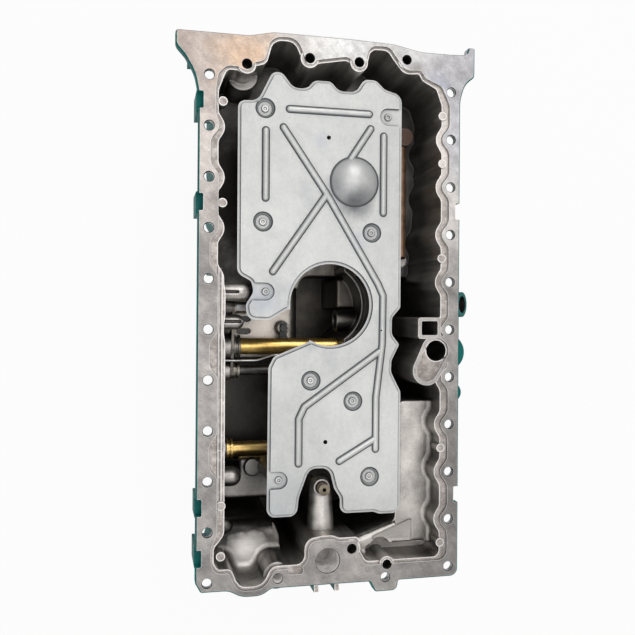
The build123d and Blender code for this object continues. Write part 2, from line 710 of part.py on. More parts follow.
def inner_cuts():
    """Bores of the inner socket, of the feed pipe's end, of the side pipe's seats and the clip."""
    wall_x = cutout_x + inner_wall_r + 1
    cut = bar_x(21, wall_x + inner_wall_t + 1, 8, -84, 8.6)
    cut += bar_x(20, wall_x - 2, feed_y, feed_z, feed_r + thread_gap)
    cut += bar_x(wall_x - 3, wall_x + 7, feed_y, feed_z, feed_r - pipe_wall)
    seat = Cylinder(side_pipe_r + thread_gap, 14, align=(Align.CENTER, Align.CENTER, Align.MIN))
    cut += Pos(side_pipe_x, side_pipe_top_y - 4, side_pipe_z) * Rot(90, 0, 0) * seat
    cut += Pos(side_pipe_x, side_pipe_end_y + 2, side_pipe_z) * Rot(-90, 0, 0) * seat
    cut += post(clip_x, clip_bolt_y, clip_bolt_r + thread_gap, clip_seat_z + 1, clip_seat_z - 9)
    cut += prism(Pos(-37.5, -row_end + 6.2) * RectangleRounded(15, 7, 2), 1, -ledge_deep)
    return cut


def floor_slots():
    """Oil slots sunk in the upper floor near the left wall."""
    cut = None
    for y in (9.6, -4.4):
        slot = Pos(-78, y) * SlotOverall(16, 5.5)
        piece = prism(slot, -low_floor_deep + 1, -low_floor_deep - 3.5)
        cut = piece if cut is None else cut + piece
    return cut


def pan_casting():
    """The whole casting: flange, shell, bosses and ways."""
    pan = prism(rounded_face(flange_corners()), 0, -flange_t)
    left_edge = pan.edges().group_by(Axis.Z)[-1].filter_by_position(Axis.X, -145, -130)
    pan = chamfer(left_edge, flange_chamfer)
    pan += shell_outside()
    pan += side_pads()
    pan += gussets()
    pan += outer_bosses()
    pan -= prism(rounded_face(land_corners()), 1, -ledge_deep)
    for zone in inside_zones():
        pan -= zone
    pan += inner_details()
    pan += wall_bosses()
    pan += leaning_wall()
    pan -= wall_relief()
    pan += port_faces()
    pan += lug_solid()
    pan += tube_solid()
    pan += floor_posts()
    pan += post(drain_plug_x, drain_plug_y, drain_boss_r, -sump_deep + 4, base_z + 0.5)
    pan -= notches()
    pan -= lug_cuts()
    pan -= tube_cuts()
    pan -= side_port_cuts()
    pan -= wall_boss_cuts()
    pan -= inner_cuts()
    pan -= floor_slots()
    for sign in (-1, 1):
        for y in rising_ys:
            pan -= post(sign * bolt_line_x, y, bolt_hole_r, 1, -flange_t - 30)
            pan -= post(sign * bolt_line_x, y, spot_face_r, -flange_t + spot_face_deep, -flange_t - 30)
    for x, y in end_bolts:
        pan -= post(x, y, bolt_hole_r, 1, base_z)
    tapped = [(x, y, wing_hole_deep) for x, y in (top_tapped[0], top_tapped[3])]
    tapped += [(x, y, top_hole_deep) for x, y in top_tapped[1:3]]
    tapped += [(*port_tapped, port_hole_deep), (*low_tapped, low_hole_deep)]
    for x, y, deep in tapped:
        pan -= post(x, y, tapped_hole_r, 1, -deep)
    for x, y in dimples:
        pan -= post(x, y, rivet_r + thread_gap, seat_z + 1, seat_z - rivet_deep)
    for x, y, edge in lugs:
        pan -= post(x, y, rivet_r + thread_gap, rim_seat_z + 1, rim_seat_z - rivet_deep)
    head_top = -sump_deep - floor_t + drain_head_h + drain_washer_t
    pan -= post(drain_plug_x, drain_plug_y, drain_thread_r + thread_gap, 0, base_z - 1)
    pan -= post(drain_plug_x, drain_plug_y, drain_head_r + 2.5, base_z + 3, base_z - 1)
    return pan


def plate_corners():
    """Outer edge of the baffle, counter-clockwise, scalloped round the columns of the pan."""
    high = row_end
    bottom = [(plate_left + 31.8, -195.2, 9), (-32.0, -195.2, 9), (-30.0, -176, 14), (-19.0, -146, 11)]
    bottom += [(2.5, -146, 11), (8.0, -168, 14), (14.5, -178, 10), (14.5, -194.6, 8), (51.0, -194.6, 5)]
    bottom += [(58.0, -197.2, 5), (plate_right + 0.6, -197.2, 8)]
    right = [(plate_right + 0.6, -67, 8), (69.8, -46, 12), (70.2, -34, 12), (79.0, -16.5, 4), (70.5, -6, 10)]
    right += [(70.5, 12, 8), (plate_right, 23, 6), (plate_right, high, 11)]
    top = [(61.0, high + 5, 10), (51.0, high + 14.2, 9), (38.0, high + 14.2, 9), (29.0, high, 11)]
    top += [(10.0, high, 12), (2.0, high + 9.3, 8), (-15.5, high + 9.3, 8), (-24.0, high, 12)]
    top += [(-38.0, high, 12), (-50.0, high + 14.8, 8), (-60.0, high + 14.8, 9), (-75.0, high - 15.5, 12)]
    top += [(plate_left, high - 16.5, 8)]
    left = [(plate_left, 57, 10), (-81.0, 49, 6), (-78.3, 38, 10), (-86.5, 25, 8), (-85.0, 10.0, 10)]
    left += [(-62.0, 9, 14), (-44.0, 20, 2), (-10.0, 24, 1), (-20.0, -13.5, 1), (-57.0, -28.7, 9)]
    left += [(plate_left + 32.8, -40, 9)]
    return bottom + right + top + left


def bead(points):
    """Pressed bead: rounded outside and the smaller round hollow under it."""
    outer_r = (bead_w * bead_w / 4 + bead_h * bead_h) / (2 * bead_h)
    axis_z = panel_top_z + bead_h - outer_r
    shapes = []
    for r in (outer_r, outer_r - sheet_t):
        solid = None
        for (x0, y0), (x1, y1) in zip(points[:-1], points[1:]):
            start = Vector(x0, y0, axis_z)
            end = Vector(x1, y1, axis_z)
            run = Plane(origin=start, z_dir=end - start)
            piece = run * Cylinder(r, (end - start).length, align=(Align.CENTER, Align.CENTER, Align.MIN))
            piece += Pos(start) * Sphere(r) + Pos(end) * Sphere(r)
            solid = piece if solid is None else solid + piece
        shapes.append(solid)
    return shapes


def baffle_plate():
    """Pressed plate: turned rim, raised panel with beads and dome, sunk dimples and lugs."""
    cut_circle = Pos(cutout_x, cutout_y) * Circle(cutout_r)
    outline = rounded_face(plate_corners()) - cut_circle
    panel = rounded_face(parallel(plate_corners(), -rim_w)) - Pos(cutout_x, cutout_y) * Circle(cutout_r + rim_w)
    inner = parallel(plate_corners(), -rim_w - sheet_t)
    under = rounded_face(inner) - Pos(cutout_x, cutout_y) * Circle(cutout_r + rim_w + sheet_t)
    for x, y, edge in lugs:
        away = 20 if edge > 0 else -20
        panel -= stadium([(x, y), (edge + away, y)], lug_pad_r)
        under -= stadium([(x, y), (edge + away, y)], lug_pad_r + sheet_t)
    plate = prism(outline, rim_top_z, rim_top_z - sheet_t)
    plate += prism(panel, panel_top_z, rim_top_z - 0.1)
    plate -= prism(under, panel_top_z - sheet_t, rim_top_z - sheet_t - 1)
    chains = [
        [(-42.5, 227.3), (43.2, 227.3)],
        [(-67.0, 203.9), (-67.0, 134.7)],
        [(59.4, 204.9), (59.4, 123.4)],
        [(-48.7, 208.0), (-2.3, 140.9), (54.2, 47.7), (59.7, 35.6), (59.2, -16.0), (52.5, -72.8), (52.5, -127.5)],
        [(-2.3, 140.9), (-59.0, 59.3)],
        [(44.9, 211.8), (dome_x - 4, dome_y + dome_r - 3)],
        [(55.6, -24.3), (-25.0, -81.1), (-30.9, -93.5), (-30.9, -139.9)],
        [(50.4, -117.2), (12.9, -138.9)],
    ]
    dome_ball = (dome_r * dome_r + dome_h * dome_h) / (2 * dome_h)
    dome_centre = Pos(dome_x, dome_y, panel_top_z + dome_h - dome_ball)
    above = block(-200, 200, -300, 400, panel_top_z - sheet_t, panel_top_z + 60)
    outers = dome_centre * Sphere(dome_ball)
    hollows = dome_centre * Sphere(dome_ball - sheet_t)
    for chain in chains:
        outer, hollow = bead(chain)
        outers += outer
        hollows += hollow
    plate += outers & above
    plate -= hollows
    for x, y in dimples:
        drop = panel_top_z - dimple_deep
        skirt = Cone(dimple_floor_r + 1.2, dimple_r + 1.2, dimple_deep, align=(Align.CENTER, Align.CENTER, Align.MIN))
        plate += Pos(x, y, drop - sheet_t + 0.01) * skirt
        sunk = Cone(dimple_floor_r, dimple_r, dimple_deep + 0.01, align=(Align.CENTER, Align.CENTER, Align.MIN))
        plate -= Pos(x, y, drop) * sunk
        plate -= post(x, y, rivet_r + thread_gap, panel_top_z, seat_z - 1)
    for x, y, edge in lugs:
        plate -= post(x, y, rivet_r + thread_gap, panel_top_z, rim_seat_z - 1)
    for x, y, r in ((-0.5, 200.1, 2.3), (-2.3, -118.5, 2.3), (57.6, -1.3, 0.9)):
        plate -= post(x, y, r, panel_top_z + 5, panel_top_z - 5)
    return plate


def rivet(x, y, seat):
    """Rivet with a low round head on a sheet at a seat height."""
    head = post(x, y, rivet_head_r - 0.9, seat + rivet_head_h, seat, rivet_head_r)
    head -= post(x, y, rivet_cup_r, seat + rivet_head_h + 1, seat + rivet_head_h - rivet_cup_deep, rivet_cup_r - 0.8)
    return head + post(x, y, rivet_r, seat + 0.5, seat - sheet_t - rivet_deep + 0.5)


def round_pipe(x0, x1, y, z, r):
    """Straight thin pipe along X."""
    return bar_x(x0, x1, y, z, r) - bar_x(x0 - 1, x1 + 1, y, z, r - pipe_wall)


def swept_pipe(points, radii, r, wall):
    """Bent pipe along a chain of points with bend radii."""
    path = FilletPolyline(*points, radius=radii)
    start = Plane(origin=path @ 0, z_dir=path % 0)
    section = Circle(r) if wall is None else Circle(r) - Circle(r - wall)
    return sweep(start * section, path=path)


def collar(y, z, r, x0):
    """Steel collar round a pipe: a flange ring, a waist and a bead."""
    body = bar_x(x0, x0 + collar_w, y, z, r + collar_wall)
    body -= bar_x(x0 + 2.4, x0 + collar_w - 2.4, y, z, r + collar_wall + 1) - bar_x(
        x0 + 2.4, x0 + collar_w - 2.4, y, z, r + 1.5
    )
    return body - bar_x(x0 - 1, x0 + collar_w + 1, y, z, r + thread_gap)


def seal_ring(y, z, r, x):
    """O-ring round a pipe, in the chamfer of its boss."""
    return Pos(x, y, z) * Rot(0, 90, 0) * Torus(r + thread_gap + seal_wire_r, seal_wire_r)


def hex_bolt_x(x, y, z, head_h):
    """Flanged hex bolt along X with its head on the +X side of x."""
    head = extrude(Plane.YZ * RegularPolygon(pipe_bolt_head_r, 6), amount=head_h)
    head += bar_x(0, 1.5, 0, 0, pipe_bolt_head_r + 1)
    head += bar_x(2 - pipe_bolt_long, 0.5, 0, 0, pipe_bolt_r)
    return Pos(x, y, z) * head


def pipe_flange():
    """Flat steel plate that clamps the upper pipe ends against the wall bosses."""
    (high_y, high_z, high_head), (low_y, low_z, low_head) = pipe_bolts
    discs = [(high_y, high_z, 8), (feed_y, feed_z, feed_r + collar_wall)]
    discs += [(drain_y, drain_z, drain_r + collar_wall), (low_y, low_z, 8)]
    face = None
    for pair in zip(discs[:-1], discs[1:]):
        link = make_hull([edge for y, z, r in pair for edge in (Pos(y, z) * Circle(r)).edges()])
        face = link if face is None else face + link
    face -= Pos(feed_y, feed_z) * Circle(feed_r + thread_gap)
    face -= Pos(drain_y, drain_z) * Circle(drain_r + thread_gap)
    for y, z, head_h in pipe_bolts:
        face -= Pos(y, z) * Circle(pipe_bolt_r + thread_gap)
    face -= Pos(vent_y, vent_z) * Circle(vent_r + 1)
    return Pos(wall_boss_x, 0, 0) * extrude(Plane.YZ * face, amount=pipe_flange_t)


def pipe_clip():
    """Bent strap that cradles the feed pipe from below, with a flat foot on its boss."""
    r = feed_r + thread_gap
    x0 = clip_x - clip_w / 2
    band = bar_x(x0, x0 + clip_w, feed_y, feed_z, r + clip_t) - bar_x(x0 - 1, x0 + clip_w + 1, feed_y, feed_z, r)
    band -= block(x0 - 1, x0 + clip_w + 1, feed_y - r - 3, feed_y + r + 3, feed_z + 2, feed_z + r + 3)
    foot = block(x0, x0 + clip_w, feed_y + r, clip_bolt_y + 6, clip_seat_z, clip_seat_z + clip_t)
    foot -= post(clip_x, clip_bolt_y, clip_bolt_r + thread_gap, clip_seat_z + 3, clip_seat_z - 1)
    return band + foot


def clip_bolt():
    """Hex bolt of the strap's foot."""
    top = clip_seat_z + clip_t
    head = prism(Pos(clip_x, clip_bolt_y) * RegularPolygon(4.6, 6), top + 4, top)
    return head + post(clip_x, clip_bolt_y, clip_bolt_r, top + 0.5, clip_seat_z - 8)


def side_pipe():
    """Straight oil pipe along the right wall, seated in two round bosses."""
    low = side_pipe_end_y + 4
    high = side_pipe_top_y - 5
    start = Pos(side_pipe_x, low, side_pipe_z) * Rot(-90, 0, 0)
    low_align = (Align.CENTER, Align.CENTER, Align.MIN)
    pipe = start * Cylinder(side_pipe_r, high - low, align=low_align)
    return pipe - start * Pos(0, 0, -1) * Cylinder(side_pipe_r - pipe_wall, high - low + 2, align=low_align)


def pickup_body():
    """Pressed oil pickup: a shallow round cup, open below, with a short neck for the pipe."""
    top = -sump_deep + pickup_lift + pickup_h
    cup = post(pickup_x, suction_y, pickup_r, top, top - pickup_h)
    cup -= post(pickup_x, suction_y, pickup_r - sheet_t, top - sheet_t, top - pickup_h - 1)
    neck_end = pickup_x - 10
    cup += bar_x(neck_end, pickup_x + 4, suction_y, suction_z, suction_r + 2.5)
    cup += post(pickup_x + 2, suction_y, suction_r + 2.5, suction_z, top - sheet_t)
    cup -= bar_x(neck_end - 1, pickup_x - 2, suction_y, suction_z, suction_r + thread_gap)
    cup -= bar_x(neck_end - 1, pickup_x + 2, suction_y, suction_z, suction_r - pipe_wall)
    cup -= post(pickup_x + 2, suction_y, suction_r - pipe_wall, suction_z, top - sheet_t - 1)
    return cup


def pickup_screen():
    """Perforated strainer held in the mouth of the pickup."""
    low = -sump_deep + pickup_lift
    screen_r = pickup_r - sheet_t - thread_gap
    screen = post(pickup_x, suction_y, screen_r, low + 2.2, low + 1)
    step = 9.5
    for i in range(-3, 4):
        for j in range(-3, 4):
            if math.hypot(i * step, j * step) < screen_r - 5:
                screen -= post(pickup_x + i * step, suction_y + j * step, 2.2, low + 3, low)
    return screen


def nipple():
    """Threaded nipple that stands in the neck of the cast tube."""
    base = neck_top_z - neck_bore_deep
    body = post(neck_x, neck_y, nipple_r, neck_top_z + nipple_h, base)
    body += post(neck_x, neck_y, nipple_thread_r, base + 0.5, base - nipple_thread_long)
    return body - post(neck_x, neck_y, nipple_bore_r, neck_top_z + nipple_h + 1, tube_axis_z)


def drain_plug():
    """Hex plug in the sump floor."""
    top = base_z + 3 - drain_washer_t
    head = prism(Pos(drain_plug_x, drain_plug_y) * RegularPolygon(drain_head_r, 6), top, base_z + 0.2)
    return head + post(drain_plug_x, drain_plug_y, drain_thread_r, -sump_deep + 4, top - 0.5)


def drain_washer():
    """Flat sealing washer under the plug's head."""
    ring = Circle(drain_head_r) - Circle(drain_thread_r + thread_gap)
    return prism(Pos(drain_plug_x, drain_plug_y) * ring, base_z + 3, base_z + 3 - drain_washer_t)


def pieces():
    """Every separate piece of the pan by its name."""
    collar_x = wall_boss_x + pipe_flange_t
    pipe_x = wall_boss_x - 9
    feed_end = cutout_x + inner_wall_r - 2
    seal_x = wall_boss_x - seal_wire_r - seal_gap
    vent = [(-110.5, vent_y, vent_z), (-66.0, vent_y, vent_z)]
    vent += [(-48.0, vent_y + 6.5, vent_z + 6), (-22.0, vent_y + 3.5, vent_z + 6)]
    return {
        "pan_casting": pan_casting(),
        "baffle_plate": baffle_plate(),
        "baffle_rivets": [rivet(x, y, panel_top_z - dimple_deep) for x, y in dimples],
        "lug_rivets": [rivet(x, y, rim_top_z) for x, y, edge in lugs],
        "feed_pipe": round_pipe(pipe_x, feed_end, feed_y, feed_z, feed_r),
        "feed_collar": collar(feed_y, feed_z, feed_r, collar_x),
        "feed_seal": seal_ring(feed_y, feed_z, feed_r, seal_x),
        "drain_pipe": round_pipe(pipe_x, drain_end_x, drain_y, drain_z, drain_r),
        "drain_collar": collar(drain_y, drain_z, drain_r, collar_x),
        "drain_seal": seal_ring(drain_y, drain_z, drain_r, seal_x),
        "suction_pipe": round_pipe(pipe_x, pickup_x - 2, suction_y, suction_z, suction_r),
        "suction_collar": collar(suction_y, suction_z, suction_r, wall_boss_x),
        "suction_seal": seal_ring(suction_y, suction_z, suction_r, seal_x),
        "pipe_flange": pipe_flange(),
        "flange_bolts": [hex_bolt_x(collar_x, y, z, head_h) for y, z, head_h in pipe_bolts],
        "vent_tube": swept_pipe(vent, [14, 12], vent_r, None),
        "pipe_clip": pipe_clip(),
        "clip_bolt": clip_bolt(),
        "side_pipe": side_pipe(),
        "pickup_body": pickup_body(),
        "pickup_screen": pickup_screen(),
        "nipple": nipple(),
        "drain_plug": drain_plug(),
        "drain_washer": drain_washer(),
    }


if __name__ == "__main__":
    os.makedirs("parts", exist_ok=True)
    for name, shape in pieces().items():
        solids = Compound(children=shape) if isinstance(shape, list) else shape
        export_step(solids, f"parts/{name}.step")
        print(name)
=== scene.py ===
import json
import math

import bmesh
import bpy
from mathutils import Euler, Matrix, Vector
from mathutils.bvhtree import BVHTree


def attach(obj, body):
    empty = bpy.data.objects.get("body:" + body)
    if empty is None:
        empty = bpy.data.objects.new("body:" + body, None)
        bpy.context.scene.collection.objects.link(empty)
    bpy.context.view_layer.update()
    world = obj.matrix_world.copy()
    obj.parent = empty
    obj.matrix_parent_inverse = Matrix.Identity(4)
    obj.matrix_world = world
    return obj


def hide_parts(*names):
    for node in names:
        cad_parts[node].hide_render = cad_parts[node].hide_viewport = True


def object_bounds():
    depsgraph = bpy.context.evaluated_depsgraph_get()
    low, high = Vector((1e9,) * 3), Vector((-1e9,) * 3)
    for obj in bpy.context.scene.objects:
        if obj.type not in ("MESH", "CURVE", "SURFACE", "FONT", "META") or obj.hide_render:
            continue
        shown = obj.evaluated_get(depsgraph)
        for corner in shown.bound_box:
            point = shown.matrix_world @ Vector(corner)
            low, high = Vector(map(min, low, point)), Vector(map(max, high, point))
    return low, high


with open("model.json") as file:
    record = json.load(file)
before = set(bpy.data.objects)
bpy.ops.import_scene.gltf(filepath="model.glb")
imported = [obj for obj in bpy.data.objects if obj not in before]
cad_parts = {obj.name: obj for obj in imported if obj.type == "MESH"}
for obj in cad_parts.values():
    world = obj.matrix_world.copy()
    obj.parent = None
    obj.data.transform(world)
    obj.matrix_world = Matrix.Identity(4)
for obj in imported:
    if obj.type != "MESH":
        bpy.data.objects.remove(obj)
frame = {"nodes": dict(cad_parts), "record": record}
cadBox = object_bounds()
nodes = frame["nodes"]
scene = bpy.context.scene
scene.view_settings.view_transform = "Standard"
print("frame loaded:", len(nodes), "pieces")


# Small helpers for node trees

def addNode(tree, kind, **settings):
    # settings that start with in_ go to the input of that name
    node = tree.nodes.new(kind)
    for name, value in settings.items():
        if name.startswith("in_"):
            node.inputs[name[3:].replace("_", " ")].default_value = value
        else:
            setattr(node, name, value)
    return node


def wire(tree, source, target):
    tree.links.new(source, target)


def newGroup(name, inputs, outputs):
    tree = bpy.data.node_groups.new(name, "ShaderNodeTree")
    for label, kind, value in inputs:
        socket = tree.interface.new_socket(label, in_out="INPUT", socket_type=kind)
        if value is not None:
            socket.default_value = value
    for label, kind in outputs:
        tree.interface.new_socket(label, in_out="OUTPUT", socket_type=kind)
    return tree, tree.nodes.new("NodeGroupInput").outputs, tree.nodes.new("NodeGroupOutput").inputs


def placeGroup(tree, group, **values):
    node = tree.nodes.new("ShaderNodeGroup")
    node.node_tree = group
    for name, value in values.items():
        node.inputs[name].default_value = value
    return node.outputs


def mathNode(tree, operation, first, second=None):
    node = tree.nodes.new("ShaderNodeMath")
    node.operation = operation
    for socket, value in zip(node.inputs, (first, second)):
        if value is None:
            continue
        if isinstance(value, (int, float)):
            socket.default_value = value
        else:
            wire(tree, value, socket)
    return node.outputs[0]


def times(tree, first, second):
    return mathNode(tree, "MULTIPLY", first, second)


def mixColour(tree, factor, first, second):
    node = tree.nodes.new("ShaderNodeMix")
    node.data_type = "RGBA"
    sockets = (node.inputs[0], node.inputs[6], node.inputs[7])  # factor and the two colours
    for socket, value in zip(sockets, (factor, first, second)):
        if isinstance(value, tuple):
            socket.default_value = (*value, 1.0)
        else:
            wire(tree, value, socket)
    return node.outputs[2]


def coat(tree, colour, mask, top, share):
    # the top colour laid over another, at a share of the mask
    return mixColour(tree, times(tree, mask, share), colour, top)


def tinted(tree, colour, tone):
    node = addNode(tree, "ShaderNodeVectorMath", operation="SCALE")
    wire(tree, colour, node.inputs[0])
    wire(tree, tone, node.inputs["Scale"])
    return node.outputs[0]


def ramp(tree, source, low, high, fromValue=0.0, toValue=1.0):
    node = tree.nodes.new("ShaderNodeMapRange")
    wire(tree, source, node.inputs[0])
    for socket, value in zip(node.inputs[1:5], (low, high, fromValue, toValue)):
        socket.default_value = value
    return node.outputs[0]


def between(tree, mask, low, high):
    return ramp(tree, mask, 0.0, 1.0, low, high)


def toneOf(tree, noise, low, high):
    # plain noise hardly leaves the range from 0.3 to 0.7
    return ramp(tree, noise, 0.3, 0.7, low, high)


def objectPlace(tree):
    return addNode(tree, "ShaderNodeTexCoord").outputs["Object"]


def splitVector(tree, vector):
    parts = addNode(tree, "ShaderNodeSeparateXYZ")
    wire(tree, vector, parts.inputs[0])
    return parts.outputs[0], parts.outputs[1], parts.outputs[2]


def upwardShare(tree):
    # z of the normal: 1 on a floor, 0 on a wall
    shape = addNode(tree, "ShaderNodeNewGeometry")
    return splitVector(tree, shape.outputs["Normal"])[2]


def noiseAt(tree, vector, **settings):
    node = addNode(tree, "ShaderNodeTexNoise", **settings)
    wire(tree, vector, node.inputs["Vector"])
    return node


# Shared surface effects

def makeCastGrain():
    number = "NodeSocketFloat"
    tree, inside, outside = newGroup(
        "castGrain",
        [("Grain size", number, 900.0), ("Cloud size", number, 30.0)],
        [("Height", number), ("Clouds", number), ("Specks", number), ("Tone", number)],
    )
    place = objectPlace(tree)
    grain = noiseAt(tree, place, in_Detail=3.0, in_Roughness=0.65)
    wire(tree, inside["Grain size"], grain.inputs["Scale"])
    clouds = noiseAt(tree, place, in_Detail=5.0, in_Roughness=0.6)
    wire(tree, inside["Cloud size"], clouds.inputs["Scale"])
    specks = noiseAt(tree, place, in_Scale=520.0, in_Detail=4.0).outputs["Fac"]
    wire(tree, grain.outputs["Fac"], outside["Height"])
    wire(tree, ramp(tree, clouds.outputs["Fac"], 0.38, 0.64), outside["Clouds"])
    wire(tree, ramp(tree, specks, 0.62, 0.7), outside["Specks"])  # the few highest points only
    wire(tree, toneOf(tree, specks, 0.88, 1.1), outside["Tone"])
    return tree


def makeFineScratches():
    # noise drawn out along one direction
    number = "NodeSocketFloat"
    tree, inside, outside = newGroup(
        "fineScratches",
        [("Turn", number, 0.0), ("Length", number, 0.03), ("Fineness", number, 1400.0)],
        [("Height", number), ("Lines", number)],
    )
    turned = addNode(tree, "ShaderNodeVectorRotate", rotation_type="Z_AXIS")
    wire(tree, objectPlace(tree), turned.inputs["Vector"])
    wire(tree, inside["Turn"], turned.inputs["Angle"])
    stretch = addNode(tree, "ShaderNodeCombineXYZ", in_Y=1.0, in_Z=1.0)
    wire(tree, inside["Length"], stretch.inputs["X"])
    scaled = addNode(tree, "ShaderNodeVectorMath", operation="MULTIPLY")
    wire(tree, turned.outputs[0], scaled.inputs[0])
    wire(tree, stretch.outputs[0], scaled.inputs[1])
    lines = noiseAt(tree, scaled.outputs[0], in_Detail=3.0, in_Roughness=0.7)
    wire(tree, inside["Fineness"], lines.inputs["Scale"])
    wire(tree, lines.outputs["Fac"], outside["Height"])
    wire(tree, ramp(tree, lines.outputs["Fac"], 0.6, 0.72), outside["Lines"])
    return tree


def makeSoftEdge():
    # rounds an edge in the light, and marks where it is
    tree, inside, outside = newGroup(
        "softEdge",
        [("Radius", "NodeSocketFloat", 0.0006)],
        [("Normal", "NodeSocketVector"), ("Edge", "NodeSocketFloat")],
    )
    rounded = addNode(tree, "ShaderNodeBevel", samples=6)
    wire(tree, inside["Radius"], rounded.inputs["Radius"])
    shape = addNode(tree, "ShaderNodeNewGeometry")
    same = addNode(tree, "ShaderNodeVectorMath", operation="DOT_PRODUCT")
    wire(tree, rounded.outputs[0], same.inputs[0])
    wire(tree, shape.outputs["Normal"], same.inputs[1])
    wire(tree, rounded.outputs[0], outside["Normal"])
    # the Edge mark carries painted highlights along edges, and chips in the teal paint
    wire(tree, ramp(tree, same.outputs["Value"], 0.995, 0.9), outside["Edge"])
    return tree


def makeCreaseShade():
    # painted shade: darkens creases and corners, found by ambient occlusion
    tree, inside, outside = newGroup(
        "creaseShade",
        [("Reach", "NodeSocketFloat", 0.003)],
        [("Crease", "NodeSocketFloat")],
    )
    near = addNode(tree, "ShaderNodeAmbientOcclusion", samples=8)
    wire(tree, inside["Reach"], near.inputs["Distance"])
    wire(tree, ramp(tree, near.outputs["AO"], 0.93, 0.6), outside["Crease"])
    return tree


def makeSteepSides():
    # 0 on flat metal, 1 on sides steeper than about 35 degrees
    number = "NodeSocketFloat"
    tree, inside, outside = newGroup(
        "steepSides", [("Start", number, 0.985), ("End", number, 0.82)], [("Steep", number)],
    )
    slope = addNode(tree, "ShaderNodeMapRange")
    wire(tree, upwardShare(tree), slope.inputs["Value"])
    wire(tree, inside["Start"], slope.inputs["From Min"])
    wire(tree, inside["End"], slope.inputs["From Max"])
    wire(tree, slope.outputs[0], outside["Steep"])
    return tree


def makeSoftPatch():
    # a soft patch round one point, with a ragged border, for stains and for painted shade and
    # light
    tree, inside, outside = newGroup(
        "softPatch",
        [("Place", "NodeSocketVector", None), ("Reach", "NodeSocketFloat", 0.03)],
        [("Mask", "NodeSocketFloat")],
    )
    place = objectPlace(tree)
    away = addNode(tree, "ShaderNodeVectorMath", operation="DISTANCE")
    wire(tree, place, away.inputs[0])
    wire(tree, inside["Place"], away.inputs[1])
    border = noiseAt(tree, place, in_Scale=55.0, in_Detail=3.0).outputs["Fac"]
    share = mathNode(tree, "DIVIDE", away.outputs["Value"], inside["Reach"])
    share = mathNode(tree, "ADD", share, times(tree, border, 0.7))
    wire(tree, ramp(tree, share, 1.35, 0.55), outside["Mask"])
    return tree


def makeHighlightStreaks():
    # vertical streaks down the walls, used for painted highlight there
    tree, inside, outside = newGroup("highlightStreaks", [], [("Streaks", "NodeSocketFloat")])
    squeezed = addNode(tree, "ShaderNodeVectorMath", operation="MULTIPLY")
    wire(tree, objectPlace(tree), squeezed.inputs[0])
    squeezed.inputs[1].default_value = (1.0, 1.0, 0.06)
    streaks = noiseAt(tree, squeezed.outputs[0], in_Scale=150.0, in_Detail=4.0, in_Roughness=0.6)
    wire(tree, ramp(tree, streaks.outputs["Fac"], 0.35, 0.65), outside["Streaks"])
    return tree


castGrain = makeCastGrain()
creaseShade = makeCreaseShade()
highlightStreaks = makeHighlightStreaks()
fineScratches = makeFineScratches()
softEdge = makeSoftEdge()
softPatch = makeSoftPatch()
steepSides = makeSteepSides()
print("surface effects built")


def newMaterial(name, colour, metallic, roughness):
    material = bpy.data.materials.new(name)
    material.use_nodes = True
    tree = material.node_tree
    shader = tree.nodes["Principled BSDF"]
    shader.inputs["Base Color"].default_value = (*colour, 1.0)
    shader.inputs["Metallic"].default_value = metallic
    shader.inputs["Roughness"].default_value = roughness
    return material, tree, shader


def addBump(tree, shader, height, size, normal=None):
    # size is the strength of the bump and its height in metres
    strength, distance = size
    node = addNode(tree, "ShaderNodeBump", in_Strength=strength, in_Distance=distance)
    wire(tree, height, node.inputs["Height"])
    if normal is not None:
        wire(tree, normal, node.inputs["Normal"])
    wire(tree, node.outputs[0], shader.inputs["Normal"])


def addGrain(tree, sizes):
    grainSize, cloudSize = sizes
    return placeGroup(tree, castGrain, **{"Grain size": grainSize, "Cloud size": cloudSize})


def addStainsAndPaintedLight(tree, colour, stainsAndPaintedLight):
    # lays soft patches: stains, painted shade and painted light
    for place, reach, share, tone in stainsAndPaintedLight:
        mask = placeGroup(tree, softPatch, Place=place, Reach=reach)["Mask"]
        colour = coat(tree, colour, mask, tone, share)
    return colour
